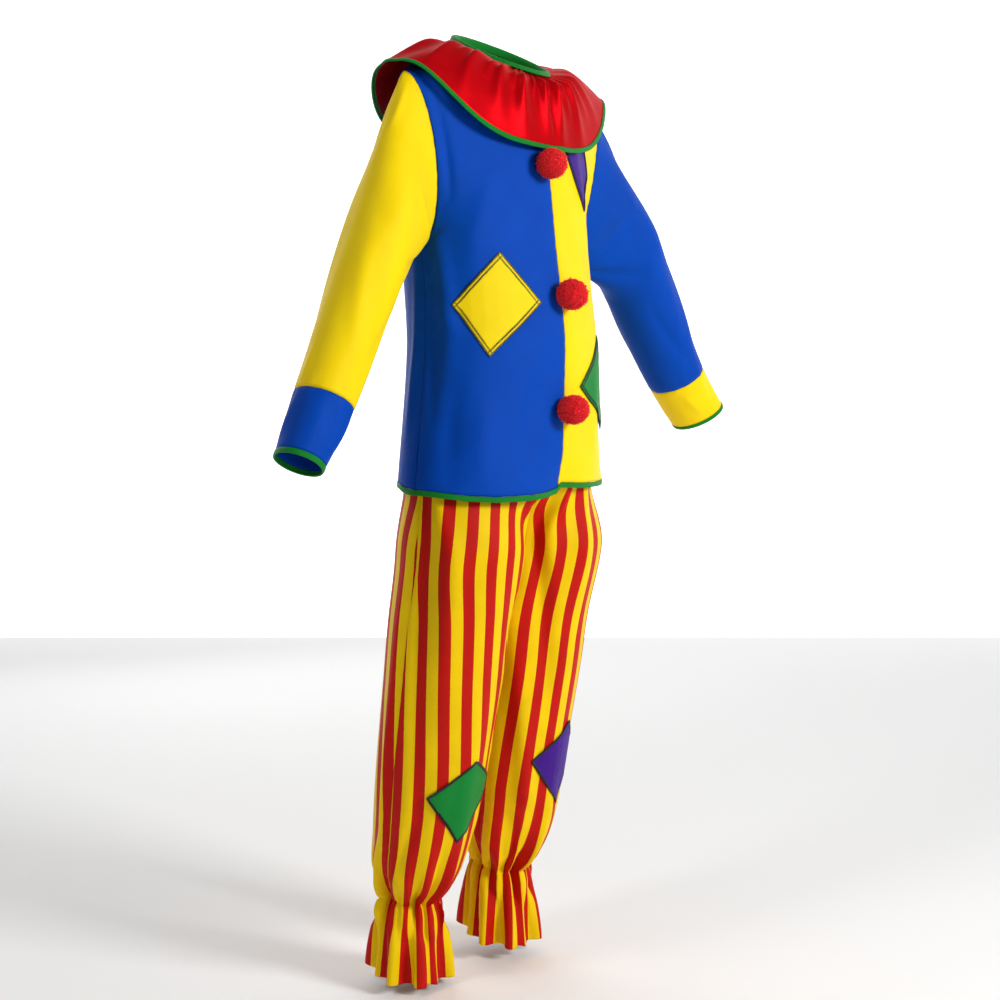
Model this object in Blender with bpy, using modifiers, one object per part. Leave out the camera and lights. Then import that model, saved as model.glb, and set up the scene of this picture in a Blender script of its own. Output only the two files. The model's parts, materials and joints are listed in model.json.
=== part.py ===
"""A clown costume that keeps its worn shape: a parti-coloured blouse, a gathered collar and striped trousers.

Metres, +Z up. The front faces -Y and the wearer's right hand is at -X. The origin is the middle of the neck
opening. Every cloth piece is a loft of outer points, row by row, that Solidify makes into a thin wall.
"""
import math
from collections import namedtuple

import bmesh
import bpy
from mathutils import Vector

# Cloth and seams
CLOTH = 0.0011            # wall of each cloth piece
BINDING = 0.0026          # folded edging, all its layers together
BINDING_WIDTH = 0.008
PATCH = 0.0010
SEAM = 0.0003             # two pieces at a seam
CREASED_SEAM = 0.0018     # the same where the walls' inner sides lean together, as on the shoulders
ARMHOLE_SEAM = 0.0016     # and where a sleeve turns down from the shoulder

RIGHT, LEFT = -1, 1       # the wearer's sides, as signs of X
FRONT, BACK = -1, 1       # as signs of Y

# Blouse: half of each level section, from the side seam to the centre lines in front and behind
Section = namedtuple("Section", "z side_x side_y front_y back_y")
BLOUSE = (
    Section(-0.690, 0.208, -0.006, -0.128, 0.117),
    Section(-0.600, 0.197, -0.006, -0.129, 0.120),
    Section(-0.500, 0.187, -0.007, -0.132, 0.120),
    Section(-0.450, 0.184, -0.007, -0.132, 0.120),
    Section(-0.360, 0.181, 0.000, -0.121, 0.127),
    Section(-0.308, 0.180, 0.007, -0.114, 0.131),
)
# Centre lines from the armpit's height to the neck
Centre = namedtuple("Centre", "z y")
CENTRE_FRONT = (
    Centre(-0.308, -0.114),
    Centre(-0.209, -0.103),
    Centre(-0.120, -0.092),
    Centre(-0.035, -0.077),
)
CENTRE_BACK = (
    Centre(-0.308, 0.131),
    Centre(-0.200, 0.133),
    Centre(-0.090, 0.120),
    Centre(0.030, 0.077),
)
HEM = -0.690
ARMPIT = -0.308
NECK_HALF_WIDTH = 0.072
NECK_HALF_DEPTH = 0.077
NECK_FRONT = -0.035
NECK_BACK = 0.030
SHOULDER = Vector((0.235, -0.011, -0.061))
ARMHOLE_REACH = 0.038     # how far the armhole bows forward and backward
ARMHOLE_BOW = -0.012      # and outward; across the chest it is cut inward
NECK_SHARE = 0.38         # share of the armhole's rows that start on the neck curve
SHOULDER_TURN = 0.95      # radians that a row turns through at the shoulder, where the cloth is flatter
FLATTENS = 1.6            # how much sooner than the armhole's rows that is reached
BLOUSE_COLUMNS = 11
HEM_ROWS = 6
ARMHOLE_ROWS = 8

# Soft folds in the blouse: where across the panel, how wide, between which heights, how deep
Fold = namedtuple("Fold", "side face across width top bottom depth")
BLOUSE_FOLDS = (
    Fold(RIGHT, FRONT, 0.00, 0.16, -0.620, -0.760, -0.010),
    Fold(LEFT, FRONT, 0.00, 0.16, -0.620, -0.760, -0.010),
    Fold(RIGHT, FRONT, 0.78, 0.14, -0.330, -0.700, 0.005),
    Fold(LEFT, FRONT, 0.72, 0.16, -0.360, -0.760, 0.006),
    Fold(RIGHT, BACK, 0.62, 0.16, -0.300, -0.760, -0.006),
    Fold(LEFT, BACK, 0.55, 0.16, -0.340, -0.760, -0.006),
)

# Sleeves: straight tubes from the armhole, flattened between outward and forward
Arm = namedtuple("Arm", "side out forward length wrist")
ARMS = (Arm(RIGHT, 25.2, 0.0, 0.513, 0.25), Arm(LEFT, 36.3, 0.0, 0.513, 0.70))
WRIST_FROM = 0.85                 # share of the sleeve below which the arm curves outward
SLEEVE_TOP = (0.075, 0.061)       # half sizes, wide and narrow
SHOULDER_IN = 0.063               # from the shoulder point in to the middle of the sleeve's tube
SLEEVE_END = (0.0525, 0.0450)
CUFF_END = (0.0500, 0.0360)
CUFF_LENGTH = 0.100
SLEEVE_TWIST = 45.0               # of the wide direction, from outward towards the front
SLEEVE_EASE = 0.42                # share of the sleeve in which the armhole's shape fades out
SLEEVE_COLUMNS = 20
SLEEVE_ROWS = 9
SLEEVE_CROWDING = 1.25            # above 1, the rows lie closer together near the armhole

# Collar
COLLAR_REACH = 0.252
COLLAR_FRONT = Vector((0.0, -0.114, -0.160))
COLLAR_SIDE_Y = -0.004
COLLAR_SIDE_Z = -0.047
COLLAR_BACK = Vector((0.0, 0.156, -0.120))
COLLAR_FRONT_SLANT = 1.12          # 1 would be an ellipse seen from above; more runs straighter
COLLAR_BACK_SLANT = 1.0
COLLAR_LEFT_RAISED = 0.012        # the wearer's left side of the collar rides higher
COLLAR_SWELL = 0.015              # how far the cloth stands off a straight fall, straight ahead and aside
COLLAR_SWELL_ASLANT = 0.026       # and halfway between
COLLAR_SWELL_EARLY = 0.6          # below 1, the swell is nearer the neck
COLLAR_LIFT_OUT = 0.5             # shares of the swell that go outward and up
COLLAR_LIFT_UP = 0.8
COLLAR_OUTWARD_RISE = 0.06        # the folds stand outward and a little up
COLLAR_FOLDS = 24
COLLAR_COLUMNS = 4 * COLLAR_FOLDS
COLLAR_ROWS = 5
COLLAR_RISE = 0.0046              # of the collar's gathered edge above the blouse's neck edge
COLLAR_BINDING_WIDTH = 0.045      # share of the way from the neck to the edge
COLLAR_BINDING_GAP = 0.003
NECK_BINDING = 0.0020
NECK_BINDING_INSET = 0.945        # of the neck binding's ring inside the neck edge
NECK_BINDING_LOW, NECK_BINDING_HIGH = -0.001, 0.008
BINDING_INSIDE = -0.6             # share of a binding's wall that lies inside its cloth's surface
COLLAR_BINDING_INSIDE = -0.4
FoldDepth = namedtuple("FoldDepth", "reach depth")
COLLAR_FOLD_DEPTH = (
    FoldDepth(0.00, 0.0012),
    FoldDepth(0.25, 0.0030),
    FoldDepth(0.70, 0.0042),
    FoldDepth(1.00, 0.0024),
)

# Trousers: hip sections as on the blouse, then one ring a leg
HIPS = (
    Section(-0.500, 0.150, 0.000, -0.100, 0.104),
    Section(-0.560, 0.178, -0.001, -0.106, 0.108),
    Section(-0.610, 0.1963, -0.004, -0.108, 0.112),
    Section(-0.690, 0.188, -0.002, -0.109, 0.114),
    Section(-0.790, 0.1995, -0.003, -0.108, 0.106),
)
Ring = namedtuple("Ring", "z middle_x middle_y half_x half_y wave")
LEG = (
    Ring(-0.690, 0.1003, -0.003, 0.0995, 0.102, 0.0),
    Ring(-0.790, 0.1003, -0.003, 0.0995, 0.102, 0.0),
    Ring(-0.894, 0.1000, 0.018, 0.0970, 0.0968, 0.0),
    Ring(-0.990, 0.1000, 0.033, 0.0940, 0.0935, 0.0),
    Ring(-1.125, 0.1000, 0.058, 0.0865, 0.0865, 0.0006),
    Ring(-1.232, 0.1005, 0.075, 0.0790, 0.0785, 0.0016),
    Ring(-1.290, 0.1010, 0.087, 0.0715, 0.0710, 0.0030),
    Ring(-1.318, 0.1015, 0.093, 0.0600, 0.0600, 0.0032),
    Ring(-1.342, 0.1020, 0.100, 0.0445, 0.0445, 0.0022),
    Ring(-1.366, 0.1020, 0.101, 0.0490, 0.0490, 0.0034),
    Ring(-1.400, 0.1020, 0.101, 0.0540, 0.0540, 0.0048),
    Ring(-1.466, 0.1020, 0.102, 0.0610, 0.0610, 0.0064),
)
WAIST = -0.500
FORK = -0.790             # the crotch
FORK_START = -0.660       # where the panels begin to turn in towards it
LEG_WAVES = 10            # gathers and ruffle waves round each leg
LEG_COLUMNS = 2 * LEG_WAVES
LEG_HEIGHTS = (-0.500, -0.555, -0.610, -0.660, -0.725, -0.790, -0.894, -1.010, -1.100, -1.170, -1.232,
               -1.290, -1.318, -1.342, -1.366, -1.400, -1.466)
Stance = namedtuple("Stance", "side raised forward")
STANCES = (Stance(RIGHT, 0.0, 0.0), Stance(LEFT, 0.012, 0.014))
STANCE_FROM, STANCE_OVER = -0.90, 0.42
WAISTBAND = 0.003
WAISTBAND_TOP = -0.465
WAISTBAND_WAVES = 12
WAISTBAND_RIPPLE = 0.012  # share of the waist's half sizes

# Diamond patches: panel, how far they rest off it, and each corner's place on it as (columns across, rows up)
Patch = namedtuple("Patch", "name colour panel rest top side_in bottom side_out")
PATCHES = (
    Patch("patch_yellow_front", "patch_yellow", "front_right", 0.0015,
          (4.6, 5.7), (1.9, 4.5), (5.7, 3.15), (8.4, 4.4)),
    Patch("patch_green_front", "patch_green", "front_left", 0.0015,
          (5.1, 3.8), (1.5, 2.45), (5.5, 1.35), (9.0, 2.5)),
    Patch("patch_purple_chest", "patch_purple", "front_left", 0.0009,
          (4.8, 10.6), (2.2, 8.9), (4.4, 7.3), (7.2, 9.0)),
    Patch("patch_green_knee", "patch_green", "leg_front_right", 0.0025,
          (10.1, 7.93), (4.9, 7.33), (10.9, 6.0), (15.5, 7.19)),
    Patch("patch_purple_knee", "patch_purple", "leg_front_left", 0.0014,
          (12.0, 8.2), (6.3, 7.4), (11.3, 6.12), (16.5, 7.4)),
)
PATCH_CELLS = 6

# Pompoms on the centre front
Pompom = namedtuple("Pompom", "name x z half_x half_z depth")
POMPOMS = (
    Pompom("pompom_top", -0.020, -0.185, 0.0245, 0.0245, 0.044),
    Pompom("pompom_middle", -0.002, -0.3875, 0.0250, 0.0250, 0.046),
    Pompom("pompom_bottom", -0.004, -0.5650, 0.0255, 0.0235, 0.046),
)
POMPOM_SQUASH = 0.57      # the ball's half depth as a share of the depth left when it is pressed on the cloth
POMPOM_SEAT = 4 / 7       # share of the ball's half height over which the cloth behind it is looked at
POMPOM_SEAT_STEPS = 4
LOCK_RISE = 0.0035        # how far a lock's tip stands out of the ball

Colour = namedtuple("Colour", "name rgb roughness")
COLOURS = (
    Colour("cloth_blue", (0.0, 0.067, 0.434), 0.6),
    Colour("cloth_yellow", (0.871, 0.679, 0.013), 0.6),
    Colour("satin_red", (0.515, 0.007, 0.013), 0.35),
    Colour("binding_green", (0.003, 0.262, 0.021), 0.55),
    Colour("patch_yellow", (0.871, 0.723, 0.013), 0.6),
    Colour("patch_green", (0.010, 0.223, 0.032), 0.6),
    Colour("patch_purple", (0.060, 0.012, 0.262), 0.6),
    Colour("wool_red", (0.680, 0.010, 0.017), 0.9),
    Colour("stripe_red", (0.515, 0.010, 0.005), 0.6),
)


def mix(a, b, share):
    return a + (b - a) * share


def soft_step(share):
    share = min(max(share, 0.0), 1.0)
    return share * share * (3.0 - 2.0 * share)


def between(rows, key):
    """The row of a table at any key, each column joined by a smooth curve through its values."""
    keys = [row[0] for row in rows]
    falling = keys[0] > keys[-1]
    index = 0
    while index < len(rows) - 2 and ((key < keys[index + 1]) if falling else (key > keys[index + 1])):
        index += 1
    before, start = rows[max(index - 1, 0)], rows[index]
    end, after = rows[index + 1], rows[min(index + 2, len(rows) - 1)]
    span = end[0] - start[0]
    share = min(max((key - start[0]) / span, 0.0), 1.0)
    values = [key]
    for column in range(1, len(start)):
        leave = (end[column] - before[column]) / (end[0] - before[0]) * span
        arrive = (after[column] - start[column]) / (after[0] - start[0]) * span
        values.append((2 * share**3 - 3 * share**2 + 1) * start[column]
                      + (share**3 - 2 * share**2 + share) * leave
                      + (3 * share**2 - 2 * share**3) * end[column]
                      + (share**3 - share**2) * arrive)
    return type(start)(*values)


def neck_point(turn):
    """The neck curve, from the centre front at 0 to the centre back at pi, on the +X side."""
    height = mix(NECK_FRONT, NECK_BACK, (1.0 - math.cos(turn)) / 2.0)
    return Vector((NECK_HALF_WIDTH * math.sin(turn), -NECK_HALF_DEPTH * math.cos(turn), height))


def armhole_point(face, share):
    """The armhole on the +X side, from the armpit at 0 to the shoulder seam at 1."""
    armpit = between(BLOUSE, ARMPIT)
    swell = math.sin(math.pi * share)
    x = mix(armpit.side_x, SHOULDER.x, soft_step(share)) + ARMHOLE_BOW * swell
    y = mix(armpit.side_y, SHOULDER.y, share) + face * ARMHOLE_REACH * swell
    z = mix(ARMPIT, SHOULDER.z, (1.0 - math.cos(math.pi * share)) / 2.0)
    return Vector((x, y, z))


def arc_row(start, end, turn, columns, straight=0.0):
    """Points from a centre line to a side, curved like the part of an ellipse that turns by this angle.

    A row leaves the centre line level; straight, from 0 to 1, makes its heights follow a straight slope.
    """
    row = []
    for column in range(columns + 1):
        angle = turn * column / columns
        along = math.sin(angle) / math.sin(turn)
        back = (1.0 - math.cos(angle)) / (1.0 - math.cos(turn))
        fall = mix(back, along, straight)
        row.append(Vector((mix(start.x, end.x, along), mix(start.y, end.y, back), mix(start.z, end.z, fall))))
    return row


def blouse_rows(side, face, columns=BLOUSE_COLUMNS, hem_rows=HEM_ROWS, armhole_rows=ARMHOLE_ROWS):
    """Rows of a blouse panel from the hem up to the shoulder seam, each from the centre line outwards."""
    rows = []
    bottom = HEM + BINDING_WIDTH + SEAM
    for step in range(hem_rows):
        z = mix(bottom, ARMPIT, step / hem_rows)
        section = between(BLOUSE, z)
        centre_y = section.front_y if face == FRONT else section.back_y
        start, end = Vector((0.0, centre_y, z)), Vector((section.side_x, section.side_y, z))
        rows.append(arc_row(start, end, math.pi / 2, columns))
    centre_line = CENTRE_FRONT if face == FRONT else CENTRE_BACK
    neck_starts = 1.0 - NECK_SHARE
    for step in range(armhole_rows + 1):
        share = step / armhole_rows
        if share < neck_starts:
            z = mix(ARMPIT, centre_line[-1].z, share / neck_starts)
            start = Vector((0.0, between(centre_line, z).y, z))
        else:
            turn = (share - neck_starts) / NECK_SHARE * math.pi / 2
            start = neck_point(turn if face == FRONT else math.pi - turn)
        turn = mix(math.pi / 2, SHOULDER_TURN, soft_step(share * FLATTENS))
        straight = soft_step((share - neck_starts) / NECK_SHARE)
        rows.append(arc_row(start, armhole_point(face, share), turn, columns, straight))
    for row in rows:
        for column, point in enumerate(row):
            point += Vector((0.0, face, 0.0)) * fold_depth(side, face, column / columns, point.z)
            point.x *= side
    return rows


def fold_depth(side, face, across, z):
    """How far the soft folds of a blouse panel stand out at a place on it."""
    depth = 0.0
    for fold in BLOUSE_FOLDS:
        if fold.side == side and fold.face == face and fold.bottom < z < fold.top:
            bell = math.exp(-((across - fold.across) / fold.width) ** 2)
            along = math.sin(math.pi * (fold.top - z) / (fold.top - fold.bottom)) ** 2
            depth += fold.depth * bell * along * math.cos(across * math.pi / 2)
    return depth


def arm_frame(arm):
    """A sleeve's direction, its cross directions outward and ahead, and its middle at the shoulder."""
    out, forward = math.radians(arm.out), math.radians(arm.forward)
    along = Vector((arm.side * math.tan(out), -math.tan(forward), -1.0)).normalized()
    outward = Vector((arm.side, 0.0, 0.0))
    outward = (outward - along * outward.dot(along)).normalized()
    ahead = Vector((0.0, -1.0, 0.0))
    ahead = (ahead - along * ahead.dot(along) - outward * ahead.dot(outward)).normalized()
    shoulder = Vector((arm.side * SHOULDER.x, SHOULDER.y, SHOULDER.z))
    return along, outward, ahead, shoulder - outward * SHOULDER_IN


def sleeve_section(arm, distance, turn):
    """A point of the sleeve's or cuff's tube; turn is 0 at the underarm and a quarter at the front."""
    along, outward, ahead, top = arm_frame(arm)
    if distance < arm.length:
        share = distance / arm.length
        wide, narrow = (mix(a, b, share) for a, b in zip(SLEEVE_TOP, SLEEVE_END))
    else:
        share = (distance - arm.length) / CUFF_LENGTH
        wide, narrow = (mix(a, b, share) for a, b in zip(SLEEVE_END, CUFF_END))
    lean = math.pi - turn - math.radians(SLEEVE_TWIST)
    radius = wide * narrow / math.hypot(narrow * math.cos(lean), wide * math.sin(lean))
    curve = outward * arm.wrist * max(distance - WRIST_FROM * arm.length, 0.0) ** 2
    return top + along * distance + curve + (ahead * math.sin(turn) - outward * math.cos(turn)) * radius


def armhole_ring(arm, turn):
    """The armhole as one loop; turn is 0 at the armpit, half at the shoulder seam."""
    share = turn / math.pi
    point = armhole_point(FRONT, share) if share <= 1.0 else armhole_point(BACK, 2.0 - share)
    return Vector((point.x * arm.side, point.y, point.z))


def sleeve_rows(arm, columns=SLEEVE_COLUMNS, count=SLEEVE_ROWS):
    """Rings from the armhole, slanted as it is, to the level end of the sleeve."""
    along, _, _, top = arm_frame(arm)
    rows = []
    for step in range(count + 1):
        share = (step / count) ** SLEEVE_CROWDING
        row = []
        for column in range(columns):
            turn = 2.0 * math.pi * column / columns
            seam = armhole_ring(arm, turn)
            first = (seam - top).dot(along)
            start, end = first + ARMHOLE_SEAM, arm.length - SEAM
            distance = mix(start, end, share)
            fade = 1.0 - soft_step(share / SLEEVE_EASE)
            off_tube = seam - sleeve_section(arm, first, turn)
            row.append(sleeve_section(arm, distance, turn) + off_tube * fade)
        rows.append(row)
    return rows


def cuff_rows(arm, start, end, count, columns=SLEEVE_COLUMNS):
    return [[sleeve_section(arm, arm.length + mix(start, end, step / count), 2.0 * math.pi * column / columns)
             for column in range(columns)] for step in range(count + 1)]


def collar_edge(turn):
    """The collar's outer edge; turn is 0 at the centre front, a quarter at the wearer's left shoulder."""
    facing, aside = math.cos(turn), math.sin(turn)
    tip, slant = (COLLAR_FRONT, COLLAR_FRONT_SLANT) if facing > 0 else (COLLAR_BACK, COLLAR_BACK_SLANT)
    x = COLLAR_REACH * math.copysign(abs(aside) ** slant, aside)
    y = mix(COLLAR_SIDE_Y, tip.y, abs(facing) ** slant)
    z = mix(COLLAR_SIDE_Z, tip.z, soft_step(abs(facing)) ** 2)
    return Vector((x, y, z + COLLAR_LEFT_RAISED * soft_step(aside)))


def collar_point(turn, reach):
    """The collar's surface: reach is 0 at the neck and 1 at the outer edge."""
    folded = math.pi * 2 - turn if turn > math.pi else turn
    neck = neck_point(folded)
    neck.x = math.copysign(neck.x, math.sin(turn))
    neck.z += COLLAR_RISE
    edge = collar_edge(turn)
    point = neck.lerp(edge, reach)
    swell = math.sin(math.pi * reach ** COLLAR_SWELL_EARLY)
    lift = swell * mix(COLLAR_SWELL, COLLAR_SWELL_ASLANT, abs(math.sin(2.0 * turn)))
    outward = Vector((edge.x, edge.y, COLLAR_OUTWARD_RISE)).normalized()
    ripple = between(COLLAR_FOLD_DEPTH, reach).depth * math.cos(COLLAR_FOLDS * turn)
    way_off = Vector((outward.x * COLLAR_LIFT_OUT, outward.y * COLLAR_LIFT_OUT, COLLAR_LIFT_UP))
    return point + way_off * lift + outward * ripple


def collar_rows(start, end, count, columns=COLLAR_COLUMNS):
    return [[collar_point(2.0 * math.pi * column / columns, mix(start, end, step / count))
             for column in range(columns)] for step in range(count + 1)]


def leg_row(stance, face, z, columns=LEG_COLUMNS):
    """A row of a trouser panel: a quarter of the hips above the fork, half of the leg's ring below it."""
    drop = soft_step((STANCE_FROM - z) / STANCE_OVER)
    ring = between(LEG, z)
    turned_in = soft_step((FORK_START - z) / (FORK_START - FORK))
    row = []
    for column in range(columns + 1):
        turn = math.pi * column / columns
        wave = -ring.wave * math.cos(LEG_WAVES * turn)
        leg = Vector((ring.middle_x - (ring.half_x + wave) * math.cos(turn),
                      ring.middle_y + face * (ring.half_y + wave) * math.sin(turn), z))
        if turned_in < 1.0:
            hips = between(HIPS, z)
            centre_y = hips.front_y if face == FRONT else hips.back_y
            hip_y = mix(hips.side_y, centre_y, math.cos(turn / 2))
            leg = Vector((hips.side_x * math.sin(turn / 2), hip_y, z)).lerp(leg, turned_in)
        leg.z += stance.raised * drop
        leg.y -= stance.forward * drop
        leg.x *= stance.side
        row.append(leg)
    return row


def waistband_rows(bottom, top, columns):
    rows = []
    for z in (bottom, top):
        hips = between(HIPS, WAIST)
        row = []
        for column in range(columns):
            turn = 2.0 * math.pi * column / columns
            wave = 1.0 + WAISTBAND_RIPPLE * math.cos(WAISTBAND_WAVES * turn)
            row.append(Vector((hips.side_x * math.sin(turn) * wave, hips.front_y * math.cos(turn) * wave, z)))
        rows.append(row)
    return rows


def parted(rows, centre, side, top):
    """The same rows with three edges drawn in by half their seam's gap, so that neighbours stay apart."""
    rows = [[point.copy() for point in row] for row in rows]
    for row in rows:
        row[0] += (row[1] - row[0]).normalized() * centre / 2
        row[-1] += (row[-2] - row[-1]).normalized() * side / 2
    for point, below in zip(rows[-1], rows[-2]):
        point += (below - point).normalized() * top / 2
    return rows


def colour_of(name):
    if name in bpy.data.materials:
        return bpy.data.materials[name]
    colour = next(entry for entry in COLOURS if entry.name == name)
    material = bpy.data.materials.new(name)
    material.use_nodes = True
    shader = material.node_tree.nodes["Principled BSDF"]
    shader.inputs["Base Color"].default_value = (*colour.rgb, 1.0)
    shader.inputs["Roughness"].default_value = colour.roughness
    material.diffuse_color = (*colour.rgb, 1.0)
    return material


def keep(name, mesh, colour):
    mesh.materials.append(colour_of(colour))
    mesh.shade_smooth()
    obj = bpy.data.objects.new(name, mesh)
    bpy.data.collections["clown_costume"].objects.link(obj)
    return obj


def wall(name, rows, colour, thickness=CLOTH, offset=-1.0, closed=False, flip=False):
    """A cloth piece: faces between neighbouring rows, made thick by Solidify, by default inwards."""
    shell = bmesh.new()
    grid = [[shell.verts.new(point) for point in row] for row in rows]
    columns = len(rows[0]) if closed else len(rows[0]) - 1
    for lower, upper in zip(grid, grid[1:]):
        for column in range(columns):
            beside = (column + 1) % len(lower)
            face = [lower[column], lower[beside], upper[beside], upper[column]]
            shell.faces.new(reversed(face) if flip else face)
    mesh = bpy.data.meshes.new(name)
    shell.to_mesh(mesh)
    shell.free()
    obj = keep(name, mesh, colour)
    thicken = obj.modifiers.new("thickness", "SOLIDIFY")
    thicken.thickness = thickness
    thicken.offset = offset
    return obj


def on_panel(rows, place):
    """A point of a panel's own faces, and the way out of it, at (columns across, rows up)."""
    column = min(int(place[0]), len(rows[0]) - 2)
    row = min(int(place[1]), len(rows) - 2)
    across, up = place[0] - column, place[1] - row
    low = rows[row][column].lerp(rows[row][column + 1], across)
    high = rows[row + 1][column].lerp(rows[row + 1][column + 1], across)
    left = rows[row][column].lerp(rows[row + 1][column], up)
    right = rows[row][column + 1].lerp(rows[row + 1][column + 1], up)
    return low.lerp(high, up), (right - left).cross(high - low).normalized()


def patch_rows(patch, rows, flip, cells=PATCH_CELLS):
    """A diamond of points from the panel under it, moved out from the panel."""
    grid = []
    for step in range(cells + 1):
        line = []
        for cell in range(cells + 1):
            a, b = step / cells, cell / cells
            inner = [mix(low, high, a) for low, high in zip(patch.bottom, patch.side_in)]
            outer = [mix(low, high, a) for low, high in zip(patch.side_out, patch.top)]
            point, way_out = on_panel(rows, [mix(near, far, b) for near, far in zip(inner, outer)])
            line.append(point + way_out * patch.rest * (-1.0 if flip else 1.0))
        grid.append(line)
    return grid


def pompom(entry, surface_y):
    """A wool ball whose locks are the poked faces of an icosphere, flattened where it is sewn on."""
    ball = bmesh.new()
    bmesh.ops.create_icosphere(ball, subdivisions=2, radius=1.0)
    poked = bmesh.ops.poke(ball, faces=ball.faces[:])
    for vert in poked["verts"]:
        vert.co = vert.co.normalized() * (1.0 + LOCK_RISE / entry.half_x)
    back = surface_y - SEAM
    half_depth = entry.depth * POMPOM_SQUASH
    middle = back - entry.depth + half_depth
    for vert in ball.verts:
        x, y, z = vert.co
        vert.co = Vector((entry.x + x * (entry.half_x - LOCK_RISE), min(middle + y * half_depth, back),
                          entry.z + z * (entry.half_z - LOCK_RISE)))
    mesh = bpy.data.meshes.new(entry.name)
    ball.to_mesh(mesh)
    ball.free()
    keep(entry.name, mesh, "wool_red")


def blouse():
    panels = {}
    for side, hand in ((RIGHT, "right"), (LEFT, "left")):
        for face, place in ((FRONT, "front"), (BACK, "back")):
            rows = parted(blouse_rows(side, face), 2 * SEAM, 2 * SEAM, CREASED_SEAM)
            flip = side * face > 0
            wall(f"{place}_{hand}", rows, "cloth_blue" if side == RIGHT else "cloth_yellow", flip=flip)
            panels[f"{place}_{hand}"] = rows, flip
    return panels


def hem_binding():
    rings = []
    for z in (HEM, HEM + BINDING_WIDTH):
        ring = []
        for side, face in ((LEFT, FRONT), (LEFT, BACK), (RIGHT, BACK), (RIGHT, FRONT)):
            section = between(BLOUSE, z)
            centre_y = section.front_y if face == FRONT else section.back_y
            start, end = Vector((0.0, centre_y, z)), Vector((section.side_x, section.side_y, z))
            row = arc_row(start, end, math.pi / 2, BLOUSE_COLUMNS)
            for column, point in enumerate(row):
                point.y += face * fold_depth(side, face, column / BLOUSE_COLUMNS, z)
                point.x *= side
            if side * face > 0:
                row.reverse()
            ring += row[:-1]
        rings.append(ring)
    wall("hem_binding", rings, "binding_green", thickness=BINDING, offset=BINDING_INSIDE, closed=True)


def sleeves():
    for arm in ARMS:
        hand, flip = ("right", False) if arm.side == RIGHT else ("left", True)
        main, other = ("cloth_yellow", "cloth_blue") if arm.side == RIGHT else ("cloth_blue", "cloth_yellow")
        wall(f"sleeve_{hand}", sleeve_rows(arm), main, closed=True, flip=flip)
        cuff_end = CUFF_LENGTH - BINDING_WIDTH - SEAM
        wall(f"cuff_{hand}", cuff_rows(arm, 0.0, cuff_end, 2), other, closed=True, flip=flip)
        edge = cuff_rows(arm, CUFF_LENGTH - BINDING_WIDTH, CUFF_LENGTH, 1)
        wall(f"cuff_binding_{hand}", edge, "binding_green", thickness=BINDING, offset=BINDING_INSIDE, closed=True,
             flip=flip)


def collar():
    edge = 1.0 - COLLAR_BINDING_WIDTH
    wall("collar", collar_rows(0.0, edge, COLLAR_ROWS), "satin_red", closed=True, flip=True)
    wall("collar_binding", collar_rows(edge + COLLAR_BINDING_GAP, 1.0, 1), "binding_green", thickness=BINDING,
         offset=COLLAR_BINDING_INSIDE, closed=True, flip=True)
    ring = []
    for height in (NECK_BINDING_LOW, NECK_BINDING_HIGH):
        row = []
        for column in range(COLLAR_COLUMNS // 2):
            turn = 4.0 * math.pi * column / COLLAR_COLUMNS
            point = neck_point(turn if turn <= math.pi else 2.0 * math.pi - turn)
            point.x = math.copysign(point.x, math.sin(turn)) * NECK_BINDING_INSET
            point.y *= NECK_BINDING_INSET
            point.z += height
            row.append(point)
        ring.append(row)
    wall("neck_binding", ring, "binding_green", thickness=NECK_BINDING, closed=True)


def trousers():
    panels = {}
    for stance in STANCES:
        hand = "right" if stance.side == RIGHT else "left"
        for face, place in ((FRONT, "front"), (BACK, "back")):
            rows = parted([leg_row(stance, face, z) for z in reversed(LEG_HEIGHTS)], 2 * SEAM, 2 * SEAM, 0.0)
            flip = stance.side * face > 0
            wall(f"leg_{place}_{hand}", rows, "stripe_red", flip=flip)
            panels[f"leg_{place}_{hand}"] = rows, flip
    wall("waistband", waistband_rows(WAIST + SEAM, WAISTBAND_TOP, 4 * WAISTBAND_WAVES), "stripe_red",
         thickness=WAISTBAND, closed=True)
    return panels


def trims(panels):
    for patch in PATCHES:
        rows, flip = panels[patch.panel]
        wall(patch.name, patch_rows(patch, rows, flip), patch.colour, thickness=PATCH, offset=1.0, flip=flip)
    for entry in POMPOMS:
        heights = [entry.z + entry.half_z * POMPOM_SEAT * step / POMPOM_SEAT_STEPS
                   for step in range(-POMPOM_SEAT_STEPS, POMPOM_SEAT_STEPS + 1)]
        centres = [between(CENTRE_FRONT, z).y if z > ARMPIT else between(BLOUSE, z).front_y for z in heights]
        pompom(entry, min(centres))


def main():
    for obj in list(bpy.data.objects):
        bpy.data.objects.remove(obj)
    bpy.context.scene.collection.children.link(bpy.data.collections.new("clown_costume"))
    panels = blouse()
    panels.update(trousers())
    hem_binding()
    sleeves()
    collar()
    trims(panels)


main()
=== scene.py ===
"""A clown costume as it is worn: a parti-coloured blouse, a gathered satin collar and striped trousers."""
# %% [markdown]
# A costume like this is sewn from thin polyester cloth, so nearly everything that is seen of it is the
# shape and the finish of the cloth. The frame below brings in a plain model of each sewn piece at its real
# size. Every piece made here is a finer one of the same form, in metres, with +Z up and the front facing
# -Y.

# %% The frame
import json
import math
from collections import namedtuple

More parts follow.
